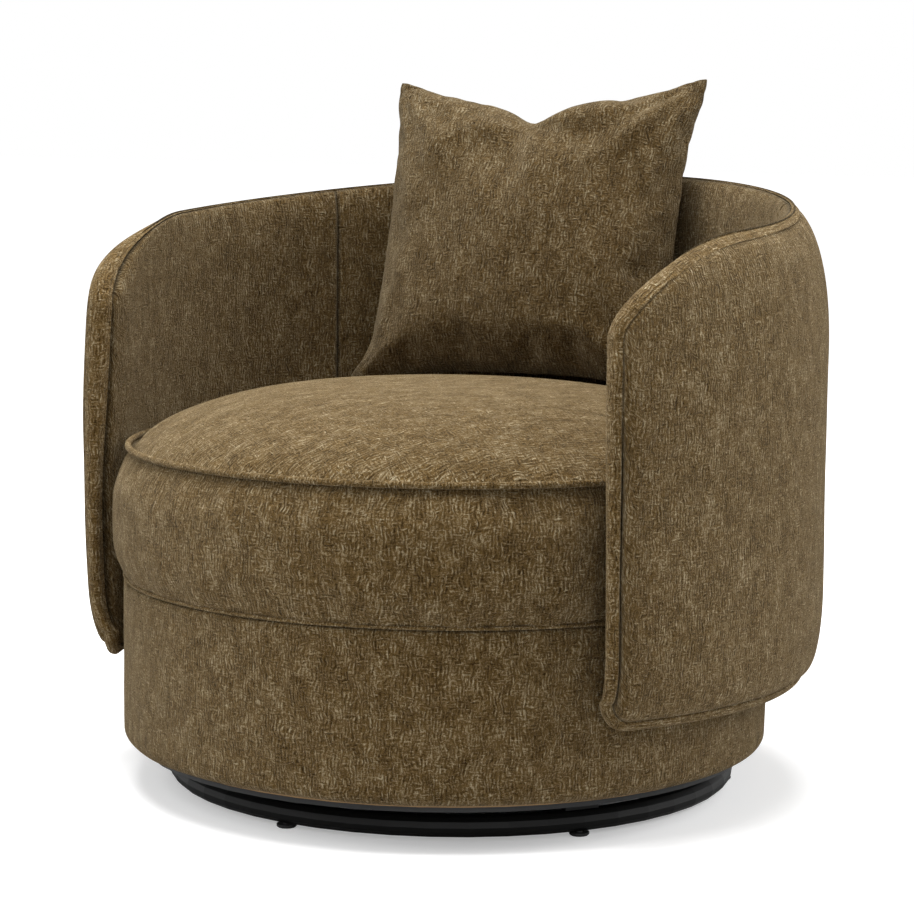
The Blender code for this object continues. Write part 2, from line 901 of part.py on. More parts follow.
def build_shell_bolts(parent, steel):
    """Bolts from inside the drum hold the shell's panel through the posts and the padding."""
    depth = panel_outer - shell_bolt_end - 2 * touch_gap - post_face()
    section = bolt_profile(0, -1, depth, shell_bolt_radius, shell_bolt_head_radius, shell_bolt_head_height)
    for number, index in enumerate(shell_bolt_posts):
        angle = angles(post_count, math.pi / post_count)[index]
        seat = on_circle(post_face(), angle, shell_bolt_height)
        bolt = turned(f"shell_bolt_{number + 1}", section, steel, parent, small_sides, seat)
        bolt.rotation_euler = (math.pi / 2, 0, angle)


# Seat cushion


def side_radius(angle):
    """The cushion swells freely between the arms and is held back where they close on it."""
    from_front = abs((angle + math.pi) % (2 * math.pi) - math.pi)
    closed = ease((from_front - cushion_open_angle) / (cushion_closed_angle - cushion_open_angle))
    return cushion_front_radius + (cushion_side_radius - cushion_front_radius) * closed


def cushion_mesh(name):
    rows = 1 + cushion_side_rows + cushion_crown_rows

    def place(around, over, _):
        angle = 2 * math.pi * around
        row = round(over * rows)
        if row == 0:
            return Vector((0, 0, seat_seam_height))
        if row <= 1 + cushion_side_rows:
            share = (row - 1) / cushion_side_rows
            straight = cushion_seam_radius + (cushion_welt_radius - cushion_seam_radius) * share
            swell = side_radius(angle) - (cushion_seam_radius + cushion_welt_radius) / 2
            height = seat_seam_height + (cushion_welt_height - seat_seam_height) * share
            return on_circle(straight + swell * math.sin(math.pi * share), angle, height)
        share = (row - 1 - cushion_side_rows) / cushion_crown_rows
        radius_share = math.cos(math.pi / 2 * share) if share < 1 else 0.0
        rise = cushion_crown * (1 - radius_share**cushion_crown_power)
        return on_circle(cushion_welt_radius * radius_share, angle, cushion_welt_height + rise)

    return lofted(name, cushion_steps, rows, place, thick=False)


def build_cushion(parent, fabric, cord_fabric):
    add_object("seat_cushion", cushion_mesh("seat_cushion"), fabric, parent)
    bpy.ops.mesh.primitive_torus_add(
        major_radius=cushion_welt_radius + welt_radius + touch_gap,
        minor_radius=welt_radius,
        major_segments=cushion_steps,
        minor_segments=welt_sides,
        location=(0, 0, cushion_welt_height),
    )
    welt = bpy.context.object
    welt.name = "cushion_welt"
    welt.data.materials.append(cord_fabric)
    welt.data.shade_smooth()
    move_to_chair(welt, parent)


# Throw pillow


def pillow_mesh(name):
    """A knife-edged pillow with pointed corners, waisted sides and a chop in its top edge."""
    wide = pillow_width / 2
    tall = pillow_length / 2

    def place(along, up, through):
        x = 2 * along - 1
        z = 2 * up - 1
        chop = math.exp(-(((wide * x - pillow_chop_shift) / pillow_chop_width) ** 2)) * max(0.0, z) ** 3
        full_x = 1 - abs(x) ** pillow_squareness
        full_z = 1 - abs(z) ** pillow_squareness
        swell = (full_x * full_z) ** pillow_fullness
        depth = pillow_edge_thickness + (pillow_thickness - pillow_edge_thickness) * swell * (1 - chop / 2)
        across = wide * x - pillow_waist * x * (1 - z * z)
        rise = pillow_waist if z > 0 else pillow_bottom_waist
        height = tall * z - rise * z * (1 - x * x) - pillow_chop_depth * chop
        return Vector((across, depth * (through - 1 / 2), height))

    return lofted(name, pillow_cells, pillow_cells, place)


def build_pillow(parent, fabric):
    pillow = add_object("throw_pillow", pillow_mesh("throw_pillow"), fabric, parent)
    pillow.rotation_mode = "YXZ"
    pillow.rotation_euler = (-pillow_lean, pillow_roll, pillow_yaw)


clear_scene()
chair = new_collection("swivel_accent_chair")
cutters = new_collection("cutters")

black_steel = new_material("satin_black_steel", (0.012, 0.012, 0.013), 0.38, 0.6)
zinc_steel = new_material("zinc_plated_steel", (0.48, 0.48, 0.47), 0.34, 0.9)
glide_nylon = new_material("black_nylon", (0.010, 0.010, 0.010), 0.55)
birch_ply = new_material("birch_plywood", (0.52, 0.37, 0.22), 0.65)
hardboard = new_material("hardboard", (0.24, 0.15, 0.08), 0.7)
black_trim = new_material("black_painted_trim", (0.010, 0.010, 0.010), 0.6)
under_cloth = new_material("black_cambric", (0.012, 0.012, 0.012), 0.95)
deck_felt = new_material("deck_felt", (0.30, 0.28, 0.24), 0.95)
chenille = new_material("olive_chenille", (0.130, 0.098, 0.052), 0.9)
chenille_band = new_material("olive_chenille_band", (0.122, 0.092, 0.049), 0.9)

base = new_empty("base_axis", (0, axis_y, 0))
seat = new_empty("swivel_axis", (0, axis_y, 0))
drum = new_empty("drum_centre", (0, -drum_offset, 0), seat)
cushion = new_empty("cushion_lift", (0, -drum_offset, 0), seat)
pillow_rest = new_empty("pillow_lift", (pillow_x, pillow_back - axis_y, pillow_height), seat)

build_ring(base, black_steel)
build_glides(base, glide_nylon)
spider = build_spider(base, black_steel)
lower_plate, upper_plate = build_plates(base, seat, zinc_steel)
build_cage(base, zinc_steel)
build_pin(base, zinc_steel)
board = build_board(drum, seat, birch_ply)
build_plate_bolts(base, seat, zinc_steel, lower_plate, upper_plate, spider, board)
bolt_holes = shell_bolt_holes(drum)
build_under_trim(drum, black_trim, under_cloth)
build_posts(drum, birch_ply, bolt_holes)
build_drum(drum, birch_ply, hardboard, chenille, deck_felt, bolt_holes)
build_springs(drum, zinc_steel)
build_shell(seat, birch_ply, chenille, chenille_band, bolt_holes)
build_shell_bolts(drum, zinc_steel)
build_cushion(cushion, chenille, chenille_band)
build_pillow(pillow_rest, chenille)
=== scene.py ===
# Swivel accent chair: the dressed model of the round drum chair with its loose cushion and pillow.
import math

import bmesh
import bpy
from mathutils import Matrix, Vector, noise
from mathutils.bvhtree import BVHTree


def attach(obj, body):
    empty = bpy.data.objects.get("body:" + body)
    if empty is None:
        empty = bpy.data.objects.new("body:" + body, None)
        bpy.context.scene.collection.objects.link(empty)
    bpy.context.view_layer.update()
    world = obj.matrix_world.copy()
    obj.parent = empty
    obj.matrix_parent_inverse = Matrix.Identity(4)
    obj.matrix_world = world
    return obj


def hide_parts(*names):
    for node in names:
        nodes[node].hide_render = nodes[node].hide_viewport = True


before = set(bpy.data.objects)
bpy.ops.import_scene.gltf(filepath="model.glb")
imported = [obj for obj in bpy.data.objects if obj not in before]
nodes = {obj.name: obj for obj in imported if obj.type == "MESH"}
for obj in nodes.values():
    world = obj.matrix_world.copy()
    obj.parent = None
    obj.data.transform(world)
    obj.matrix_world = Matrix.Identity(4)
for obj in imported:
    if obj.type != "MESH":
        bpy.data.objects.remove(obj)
scene = bpy.context.scene
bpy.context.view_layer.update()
print("frame loaded")

# The shell stands round the swivel's axis; the drum, the cushion and the pillow round the drum's.
swivelY = -0.0155
drumY = -0.0295
layTurn = {"along": 0.85, "across": 0.53}  # how the cloth of a flat panel is turned
mergeReach = 0.00002  # points nearer than this are one
seedSteps = (7.1, 3.7, 5.3)  # keeps two pieces' unevenness apart


# Small helpers


# sRGB hex to the linear colour that the shader sockets take.
def hexColour(code):
    channels = [int(code[i : i + 2], 16) / 255 for i in (0, 2, 4)]
    return [c / 12.92 if c <= 0.04045 else ((c + 0.055) / 1.055) ** 2.4 for c in channels] + [1.0]


# Sets a node's inputs. Each is a constant, or the socket or node that feeds it, a node by its first
# output in use.
def setInputs(tree, node, inputs):
    for key, value in inputs.items():
        if isinstance(value, bpy.types.Node):
            value = next(output for output in value.outputs if output.enabled)
        if isinstance(value, bpy.types.NodeSocket):
            tree.links.new(value, node.inputs[key])
        else:
            node.inputs[key].default_value = value


# Adds one shader node with its settings and inputs.
def addNode(tree, kind, inputs=None, **settings):
    node = tree.nodes.new("ShaderNode" + kind)
    for key, value in settings.items():
        setattr(node, key, value)
    setInputs(tree, node, inputs or {})
    return node


def clamped(x):
    return min(1.0, max(0.0, x))


def smoothStep(x):
    x = clamped(x)
    return x * x * (3 - 2 * x)


# Crowds even steps towards both ends.
def crowded(share):
    return (1 - math.cos(math.pi * share)) / 2


# A point at an angle from the front (-Y), turning towards +X.
def onCircle(radius, angle, height, centreY):
    return Vector((radius * math.sin(angle), centreY - radius * math.cos(angle), height))


# A sheet of quads. place(i, j) gives the point of column i and row j; wrap closes the columns.
# The UV map "cloth" holds the run of the cloth in metres, for the weave: along the middle row and
# up each column, or where laid(row) is true the cloth lies flat. turned swaps its two ways.
# seam(i, j) is 1 in the fold beside a row of stitches and 0 away from it; it is stored as the attribute
# 'fold', and there the cloth takes painted shade.
def gridMesh(name, columns, rows, place, wrap=False, laid=None, turned=False, seam=None):
    spots = [[Vector(place(column, row)) for row in range(rows + 1)] for column in range(columns + 1)]
    across = [0.0]
    for before, after in zip(spots, spots[1:]):
        across.append(across[-1] + (after[rows // 2] - before[rows // 2]).length)
    up = []
    for line in spots:
        up.append([0.0])
        for before, after in zip(line, line[1:]):
            up[-1].append(up[-1][-1] + (after - before).length)

    form = bmesh.new()
    bmesh.ops.create_grid(form, x_segments=columns, y_segments=rows, size=0.5)
    cloth = form.loops.layers.uv.new("cloth")
    # Weight of the painted shade in the folds beside stitches.
    paintedFoldShade = form.verts.layers.float.new("fold")
    index = {v: (round((v.co.x + 0.5) * columns), round((v.co.y + 0.5) * rows)) for v in form.verts}
    for face in form.faces:
        flat = laid and laid(min(index[v][1] for v in face.verts))
        for loop in face.loops:
            column, row = index[loop.vert]
            point = spots[column][row]
            if flat:
                along, aside = layTurn["along"], layTurn["across"]
                run = (along * point.x - aside * point.y, aside * point.x + along * point.y)
            else:
                run = (across[column], up[column][row])
            loop[cloth].uv = run[::-1] if turned else run
    for vertex, (column, row) in index.items():
        vertex.co = spots[column][row]
        vertex[paintedFoldShade] = seam(column, row) if seam else 0.0
    if wrap:  # also closes the poles
        bmesh.ops.remove_doubles(form, verts=form.verts, dist=mergeReach)
    bmesh.ops.recalc_face_normals(form, faces=form.faces)
    mesh = bpy.data.meshes.new(name)
    form.to_mesh(mesh)
    form.free()
    mesh.shade_smooth()
    return mesh


# Makes a sheet's faces look the way that direction(place) points.
def turnFaces(mesh, direction):
    total = sum(face.normal.dot(direction(face.center)) * face.area for face in mesh.polygons)
    if total < 0:
        mesh.flip_normals()


def fromSwivel(place):
    return Vector((place.x, place.y - swivelY, 0))


def addPiece(name, mesh, material, body, replaced=()):
    piece = bpy.data.objects.new(name, mesh)
    scene.collection.objects.link(piece)
    mesh.materials.append(material)
    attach(piece, body)
    if replaced:
        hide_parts(*replaced)
    return piece


# Soft unevenness of stuffing: moves the points along their normals by slow noise.
def swell(mesh, amount, size, seed):
    offset = Vector([seed * step for step in seedSteps])
    normals = [Vector(n.vector) for n in mesh.vertex_normals]
    for vertex, normal in zip(mesh.vertices, normals):
        vertex.co += normal * amount * noise.noise(vertex.co / size + offset)


fillFrames = 20
stuffing = {
    "use_pressure": True,
    "uniform_pressure_force": 4.0,
    "quality": 6,
    "mass": 0.3,
    "tension_stiffness": 15.0,
    "compression_stiffness": 15.0,
    "shear_stiffness": 5.0,
    "bending_stiffness": 0.5,
}


# Blows a piece up like a filled cover. held are the points that the stitches keep in place, extra is
# how much larger the cloth is cut than the form, travel(place) caps how far a point goes, and
# keepIn(place) brings a point back where a neighbour stands.
def fillCover(piece, held, extra, travel, keepIn):
    group = piece.vertex_groups.new(name="stitched")
    group.add(held, 1.0, "REPLACE")
    cloth = piece.modifiers.new("Filling", "CLOTH")
    for key, value in stuffing.items():
        setattr(cloth.settings, key, value)
    cloth.settings.effector_weights.gravity = 0
    cloth.settings.shrink_min = -extra
    cloth.settings.vertex_group_mass = group.name
    cloth.collision_settings.use_collision = False
    cloth.point_cache.frame_start = 1
    cloth.point_cache.frame_end = fillFrames
    for step in range(1, fillFrames + 1):
        scene.frame_set(step)
    filled = piece.evaluated_get(bpy.context.evaluated_depsgraph_get()).to_mesh()
    for vertex, moved in zip(piece.data.vertices, filled.vertices):
        way = moved.co - vertex.co
        cap = travel(vertex.co)
        if way.length > cap:
            way *= cap / way.length
        vertex.co = keepIn(vertex.co + way)
    piece.modifiers.remove(cloth)
    piece.vertex_groups.remove(group)
    scene.frame_set(1)
    piece.data.update()


def subdivide(piece):
    smooth = piece.modifiers.new("Smooth", "SUBSURF")
    smooth.levels = 1
    smooth.render_levels = 1
    smooth.uv_smooth = "PRESERVE_BOUNDARIES"


# Camera, light and floor

view = {
    "azimuth": 34.0,
    "pitch": 6.99,
    "roll": 0.573,
    "lens": 110.64,
    "sensor": 36,
    "farEnd": 60,
    "place": (1.796, -2.672, 0.763),
}
azimuth = math.radians(view["azimuth"])
pitch = math.radians(view["pitch"])
roll = math.radians(view["roll"])
back = Vector((math.sin(azimuth) * math.cos(pitch), -math.cos(azimuth) * math.cos(pitch), math.sin(pitch)))
right = Vector((math.cos(azimuth), math.sin(azimuth), 0))
up = back.cross(right)
rightRolled = right * math.cos(roll) + up * math.sin(roll)
upRolled = up * math.cos(roll) - right * math.sin(roll)
cameraData = bpy.data.cameras.new("camera")
cameraData.lens = view["lens"]
cameraData.sensor_width = view["sensor"]
cameraData.clip_end = view["farEnd"]
camera = bpy.data.objects.new("camera", cameraData)
scene.collection.objects.link(camera)
turned = Matrix((rightRolled, upRolled, back)).transposed().to_4x4()
camera.matrix_world = Matrix.Translation(view["place"]) @ turned
scene.camera = camera
scene.view_settings.view_transform = "Standard"


def areaLight(name, place, target, size, power):
    data = bpy.data.lights.new(name, "AREA")
    data.shape = "RECTANGLE"
    data.size, data.size_y = size
    data.energy = power
    light = bpy.data.objects.new(name, data)
    aim = Vector(target) - Vector(place)
    light.rotation_euler = aim.to_track_quat("-Z", "Y").to_euler()
    light.location = place
    scene.collection.objects.link(light)


# A place given to the camera's right, towards the camera, and up from the floor.
def seenFromCamera(side, forward, height):
    towards = Vector((math.sin(azimuth), -math.cos(azimuth), 0))
    return right * side + towards * forward + Vector((0, 0, height))


lights = {
    "top": {"place": (-0.2, 0.0, 2.9), "size": (2.2, 2.2), "power": 134},
    "left": {"place": (-2.8, 1.2, 2.3), "size": (2.6, 2.2), "power": 71},
    "right": {"place": (2.9, 0.1, 2.0), "size": (1.8, 2.4), "power": 84},
    "front": {"place": (0.5, 4.2, 1.6), "size": (2.5, 2.0), "power": 20},
}
lightsAim = (0, 0, 0.4)
for name, light in lights.items():
    areaLight(name, seenFromCamera(*light["place"]), lightsAim, light["size"], light["power"])


# The backdrop is white to the camera, also by way of metal or glass, and gives little light.
studio = {"ambient": 0.21, "backdrop": 1.0}
world = bpy.data.worlds.new("studio")
scene.world = world
world.use_nodes = True
tree = world.node_tree
tree.nodes.clear()
rays = addNode(tree, "LightPath").outputs
seen = addNode(tree, "Math", {0: rays["Is Camera Ray"], 1: rays["Is Glossy Ray"]}, operation="MAXIMUM")
seen = addNode(tree, "Math", {0: seen, 1: rays["Is Transmission Ray"]}, operation="MAXIMUM")
white = hexColour("ffffff")
ambient = addNode(tree, "Background", {"Color": white, "Strength": studio["ambient"]})
backdrop = addNode(tree, "Background", {"Color": white, "Strength": studio["backdrop"]})
mixed = addNode(tree, "MixShader", {0: seen, 1: ambient, 2: backdrop})
addNode(tree, "OutputWorld", {"Surface": mixed})

# The sweep looks white to the camera, and throws back less light on the chair than it shows.
sweep = {
    "size": 60,
    "roughness": 0.9,
    "toOthers": "cacaca",
    "toCamera": "e6e6e6",
    "glowNear": 0.34,
    "glowFar": 1.0,
    "nearEnds": 0.7,
    "farStarts": 3.0,
    "darkEnds": 0.22,  # under the chair it doesn't glow, so the gap above the ring stays dark
    "glowStarts": 0.29,
}
floorMaterial = bpy.data.materials.new("white_sweep")
floorMaterial.use_nodes = True
tree = floorMaterial.node_tree
viewed = addNode(tree, "LightPath").outputs["Is Camera Ray"]
spot = addNode(tree, "TexCoord").outputs["Object"]
reach = addNode(tree, "VectorMath", {0: spot}, operation="LENGTH")
away = {
    "Value": reach,
    "From Min": sweep["nearEnds"],
    "From Max": sweep["farStarts"],
    "To Min": sweep["glowNear"],
    "To Max": sweep["glowFar"],
}
beside = {"Value": reach, "From Min": sweep["darkEnds"], "From Max": sweep["glowStarts"]}
shown = addNode(tree, "Math", {0: addNode(tree, "MapRange", away), 1: viewed}, operation="MULTIPLY")
shown = addNode(tree, "Math", {0: shown, 1: addNode(tree, "MapRange", beside)}, operation="MULTIPLY")
paint = {0: viewed, 6: hexColour(sweep["toOthers"]), 7: hexColour(sweep["toCamera"])}
floorLook = {
    "Base Color": addNode(tree, "Mix", paint, data_type="RGBA"),
    "Roughness": sweep["roughness"],
    "Specular IOR Level": 0.0,
    "Emission Color": white,
    "Emission Strength": shown,
}
setInputs(tree, tree.nodes["Principled BSDF"], floorLook)
bpy.ops.mesh.primitive_plane_add(size=sweep["size"], location=(0, 0, 0))
floor = bpy.context.object
floor.name = "floor"
floor.data.materials.append(floorMaterial)
print("camera, light and floor")


# Materials

chenille = {
    "dark": "2c1d05",  # the pile's deep colour between the yarns, darkened further as painted shade in the gaps
    "yarn": "68522f",  # the ground colour of the pile
    "light": "c1b393",  # yarns that lie on top
    "darkAt": 0.20,  # where dark ends, and where the ground colour sits
    "yarnAt": 0.54,
    "seam": "100b04",  # painted shade in the fold of a seam and beside the cushion's cord
    "foldShade": 0.80,  # how much of that painted shade the fold takes
    "pitch": 0.0038,  # from one rib to the next
    "sway": 0.012,  # slow wander of the whole weave
    "swayScale": 38.0,
    "swayDetail": 2.0,
    "stray": 0.0046,  # quick wander of the ribs
    "strayScale": 95.0,
    "strayDetail": 1.5,
    "strandLow": 0.36,
    "strandHigh": 0.68,
    "ribShare": 0.45,  # of the ribs against the strands
    "yarnHeight": 0.50,  # shares of the pile's height
    "crinkleHeight": 0.34,
    "fuzzHeight": 0.16,
    "slubHeight": 0.30,
    "rubbedShade": 0.20,  # share of the worn patches in the shade
    "relief": 0.0027,  # depth of the pile
    "roughness": 0.92,
    "glint": 0.06,
    "sheen": 0.32,  # pale rim where the pile is seen from its side
    "sheenRoughness": 0.34,
    "sheenTint": "dccdae",
}
# Patterns on the cloth: a grain's size across and along it in metres, the noise's detail and
# distortion, the place that it is cut from, so that no two are alike, and what turns 0 and 1.
clothPatterns = {
    "over": (0.0060, 0.0075, 2.0, 0.50, 53, (0.50, 0.60)),  # 1 where the weft lies on top
    "warp": (0.0022, 0.0110, 1.5, 0.35, 0, None),  # a yarn's width, and how far it keeps its shade
    "weft": (0.0110, 0.0022, 1.5, 0.35, 31, None),
    "crinkle": (0.0027, 0.0030, 2.0, 1.80, 7, (0.34, 0.70)),
    "fuzz": (0.0010, 0.0012, 2.0, 0.80, 77, (0.30, 0.70)),
    "rubbed": (0.0170, 0.0340, 3.0, 0.60, 3, (0.30, 0.70)),
    "slubWarp": (0.0014, 0.0085, 1.0, 0.30, 91, (0.60, 0.70)),
    "slubWeft": (0.0075, 0.0014, 1.0, 0.30, 113, (0.62, 0.72)),
}


# One of the patterns, on the cloth's own run.
def clothPattern(tree, run, name):
    across, along, detail, distortion, cutFrom, ends = clothPatterns[name]
    laid = {"Vector": run, "Scale": (1 / across, 1 / along, 1), "Location": (cutFrom, cutFrom * 0.7, 0)}
    grains = {
        "Vector": addNode(tree, "Mapping", laid),
        "Scale": 1.0,
        "Detail": detail,
        "Roughness": 0.55,
        "Distortion": distortion,
    }
    noisy = addNode(tree, "TexNoise", grains)
    if not ends:
        return noisy
    return addNode(tree, "MapRange", {"Value": noisy, "From Min": ends[0], "From Max": ends[1]})


# The cloth's run, shifted a little from place to place.
def wander(tree, run, flat, scale, detail, amount):
    noisy = addNode(tree, "TexNoise", {"Vector": flat, "Scale": scale, "Detail": detail})
    centred = {0: noisy.outputs["Color"], 1: (0.5, 0.5, 0.5)}
    shift = {0: addNode(tree, "VectorMath", centred, operation="SUBTRACT"), "Scale": amount}
    shifted = {0: run, 1: addNode(tree, "VectorMath", shift, operation="SCALE")}
    return addNode(tree, "VectorMath", shifted, operation="ADD")


# Waves one pitch apart along one way of the cloth.
def ribWaves(tree, way, pitch):
    turns = addNode(tree, "Math", {0: way, 1: 2 * math.pi / pitch}, operation="MULTIPLY")
    return addNode(tree, "Math", {0: turns, 1: 0.0}, operation="SINE")


# Two layers of the pile in one, the second with the given share.
def layered(tree, first, second, share):
    firstPart = addNode(tree, "Math", {0: first, 1: 1 - share}, operation="MULTIPLY")
    secondPart = addNode(tree, "Math", {0: second, 1: share}, operation="MULTIPLY")
    return addNode(tree, "Math", {0: firstPart, 1: secondPart}, operation="ADD")


# Crushed chenille: yarns of short pile both ways, pale slubs, crinkles, rubbed patches, dusty sheen.
def makeChenille(name, paintedLight=1.0):
    material = bpy.data.materials.new(name)
    material.use_nodes = True
    tree = material.node_tree
    cloth = chenille
    flat = addNode(tree, "UVMap", uv_map="cloth")
    run = wander(tree, flat, flat, cloth["swayScale"], cloth["swayDetail"], cloth["sway"])
    strayed = wander(tree, run, flat, cloth["strayScale"], cloth["strayDetail"], cloth["stray"])

    # Which of the two ways of yarns lies on top, its strands and its ribs.
    over = clothPattern(tree, run, "over")
    ways = addNode(tree, "SeparateXYZ", {0: strayed}).outputs
    yarnWays = {0: over, 6: clothPattern(tree, run, "warp"), 7: clothPattern(tree, run, "weft")}
    strands = {
        "Value": addNode(tree, "Mix", yarnWays, data_type="RGBA"),
        "From Min": cloth["strandLow"],
        "From Max": cloth["strandHigh"],
    }
    upright, level = (ribWaves(tree, ways[way], cloth["pitch"]) for way in "XY")
    waves = addNode(tree, "Mix", {0: over, 6: upright, 7: level}, data_type="RGBA")
    ribs = addNode(tree, "MapRange", {"Value": waves, "From Min": -1.0})
    yarns = layered(tree, addNode(tree, "MapRange", strands), ribs, cloth["ribShare"])

    slubs = {0: clothPattern(tree, run, "slubWarp"), 1: clothPattern(tree, run, "slubWeft")}
    layers = {
        "crinkleHeight": clothPattern(tree, run, "crinkle"),
        "fuzzHeight": clothPattern(tree, run, "fuzz"),
        "slubHeight": addNode(tree, "Math", slubs, operation="MAXIMUM"),
    }
    height = addNode(tree, "Math", {0: yarns, 1: cloth["yarnHeight"]}, operation="MULTIPLY")
    for share, layer in layers.items():
        part = addNode(tree, "Math", {0: layer, 1: cloth[share]}, operation="MULTIPLY")
        height = addNode(tree, "Math", {0: height, 1: part}, operation="ADD")
    shade = layered(tree, height, clothPattern(tree, run, "rubbed"), cloth["rubbedShade"])
    # The colour follows the pile's height: low pile is darker, partly its own deeper colour and partly
    # painted shade in the gaps.
    tones = addNode(tree, "ValToRGB", {0: shade})
    stops = tones.color_ramp.elements
    stops[0].position, stops[0].color = cloth["darkAt"], hexColour(cloth["dark"])
    stops[1].position, stops[1].color = 1.0, hexColour(cloth["light"])
    stops.new(cloth["yarnAt"]).color = hexColour(cloth["yarn"])

    # Painted shade: the colour turns towards the seam colour in the folds of seams and beside the cushion's
    # cord.
    paintedFoldShade = addNode(tree, "Attribute", attribute_name="fold").outputs["Fac"]
    foldShadeShare = addNode(tree, "Math", {0: paintedFoldShade, 1: cloth["foldShade"]}, operation="MULTIPLY")
    colour = addNode(tree, "Mix", {0: foldShadeShare, 6: tones, 7: hexColour(cloth["seam"])}, data_type="RGBA")
    # A copy of the cloth made lighter or darker as a whole: paintedLight above 1 is painted light, below 1
    # painted shade.
    if paintedLight != 1.0:
        toned = {0: 1.0, 6: colour, 7: (paintedLight, paintedLight, paintedLight, 1.0)}
        colour = addNode(tree, "Mix", toned, data_type="RGBA", blend_type="MULTIPLY")
    pile = {
        "Base Color": colour,
        "Normal": addNode(tree, "Bump", {"Height": height, "Strength": 1.0, "Distance": cloth["relief"]}),
        "Roughness": cloth["roughness"],
        "Specular IOR Level": cloth["glint"],
        "Sheen Weight": cloth["sheen"],
        "Sheen Roughness": cloth["sheenRoughness"],
        "Sheen Tint": hexColour(cloth["sheenTint"]),
    }
    setInputs(tree, tree.nodes["Principled BSDF"], pile)
    return material


hardFinish = {"slowScale": 14.0, "unevenRoughness": 0.06, "bumpStrength": 0.6}


# A hard finish with fine grain in its colour, roughness and surface. grain is in metres, relief is
# the grain's depth, variation how much darker it gets, and stretch its scale along each way.
def makeHard(name, colour, roughness, grain, relief, variation, metallic=0.0, stretch=(1, 1, 1), glint=0.5):
    material = bpy.data.materials.new(name)
    material.use_nodes = True
    tree = material.node_tree
    place = addNode(tree, "TexCoord").outputs["Object"]
    mapping = addNode(tree, "Mapping", {"Vector": place, "Scale": [s / grain for s in stretch]})
    fine = addNode(tree, "TexNoise", {"Vector": mapping, "Scale": 1.0, "Detail": 3.0})
    slow = addNode(tree, "TexNoise", {"Vector": place, "Scale": hardFinish["slowScale"], "Detail": 2.0})
    both = addNode(tree, "Math", {0: fine, 1: slow}, operation="ADD")
    share = addNode(tree, "Math", {0: both, 1: 0.5}, operation="MULTIPLY")
    light = hexColour(colour)
    dark = [c * (1 - variation) for c in light[:3]] + [1.0]
    off = hardFinish["unevenRoughness"]
    uneven = {"Value": slow, "To Min": roughness - off, "To Max": roughness + off}
    bumps = {"Height": fine, "Strength": hardFinish["bumpStrength"], "Distance": relief}
    finish = {
        "Base Color": addNode(tree, "Mix", {0: share, 6: dark, 7: light}, data_type="RGBA"),
        "Roughness": addNode(tree, "MapRange", uneven),
        "Normal": addNode(tree, "Bump", bumps),
        "Metallic": metallic,
        "Specular IOR Level": glint,
    }
    setInputs(tree, tree.nodes["Principled BSDF"], finish)
    return material


coverCloth = makeChenille("olive_chenille_cover")  # the crushed pile that covers every pad
bandCloth = makeChenille("olive_chenille_edge", paintedLight=1.1)  # cut across; painted light, a tenth lighter, for the band's lit front and the cushion's cords
linerCloth = makeChenille("olive_chenille_lining", paintedLight=0.81)  # painted shade: darker, for the shaded inside of the shell
pillowCloth = makeChenille("olive_chenille_pillow", paintedLight=0.67)  # painted shade: darkest, for the pillow that sits in the shell's shade
# Baked paint with a soft glint on the ring's upper side.
powderBlack = makeHard(
    "satin_black_powder_coat", "080807", 0.50, grain=0.0011, relief=0.00005, variation=0.25, glint=0.2
)
# Dull pressed plate with a faint grain.
zincPlate = makeHard(
    "zinc_plated_steel", "a9aaa8", 0.36, grain=0.004, relief=0.00004, variation=0.2, metallic=0.9
)
# Veneer with open grain, drawn out upwards.
birchPly = makeHard(
    "birch_plywood", "b08d60", 0.7, grain=0.0016, relief=0.0002, variation=0.4, stretch=(1, 1, 0.08)
)
# Brown board with a fibrous skin, dull paint brushed on wood, and matt moulded glides.
hardboard = makeHard("pressed_hardboard", "6b4a2f", 0.75, grain=0.001, relief=0.0001, variation=0.35)
plinthBlack = makeHard("flat_black_paint", "131313", 0.6, grain=0.0015, relief=0.00006, variation=0.25)
nylonBlack = makeHard("moulded_black_nylon", "121212", 0.5, grain=0.0009, relief=0.00003, variation=0.2)
# A thin non-woven cover, and soft matted fibres.
cambric = makeHard("black_cambric", "171717", 0.95, grain=0.0007, relief=0.0002, variation=0.5)
feltPad = makeHard("pressed_felt", "7d786e", 0.98, grain=0.0013, relief=0.0005, variation=0.4)

finishes = {  # by how a node's name starts
    "base_ring": powderBlack,
    "base_spider": powderBlack,
    "base_board": birchPly,
    "drum_top_ring": birchPly,
    "shell_panel": birchPly,
    "drum_hoop": hardboard,
    "plinth_ring": plinthBlack,
    "dust_cover": cambric,
    "seat_deck": feltPad,
    "glide": nylonBlack,
    "drum_post": birchPly,
    "swivel": zincPlate,
    "ball_cage": zincPlate,
    "base_bolt": zincPlate,
    "board_bolt": zincPlate,
    "shell_bolt": zincPlate,
    "seat_spring": zincPlate,
}
for name, node in nodes.items():
    finish = next((finishes[start] for start in finishes if name.startswith(start)), None)
    if finish:
        for slot in node.material_slots:
            slot.material = finish
print("materials")


# Shell: outer cover, liner and edge band

# A place on the shell is an arc length from the arm's front edge, a height and a depth.
shell = {
    "radius": 0.425,
    "linerRadius": 0.369,
    "drumOffset": 0.014,
    "frontAngle": math.radians(58.4),
    "bottom": 0.141,
    "crestFlat": math.radians(45),
    "crestFront": 0.619,
    "crestBack": 0.678,
    "cornerLength": 0.152,
    "cornerDropLength": 0.195,
    "cornerHeight": 0.084,
    "cornerPower": 1.75,
    "heel": 0.020,
    "topRoll": 0.150,
    "topShare": 0.54,
    "topArc": 0.96,
    "crestLift": 0.010,
    "crestLiftReach": 0.060,
    "frontRoll": 0.028,
    "frontSeam": 0.005,
    "bottomRoll": 0.092,
    "bottomSeam": 0.019,
    "linerTopRoll": 0.045,
    "linerFrontRoll": 0.060,
    "linerBottomRoll": 0.035,
    "bellyOut": 0.006,
    "bellyForward": 0.005,
    "bellyLength": 0.200,
    "clothThickness": 0.006,
    "uneven": 0.0022,  # how far the stuffing swells, and over what size
    "unevenSize": 0.11,
    "fill": 0.8,
}
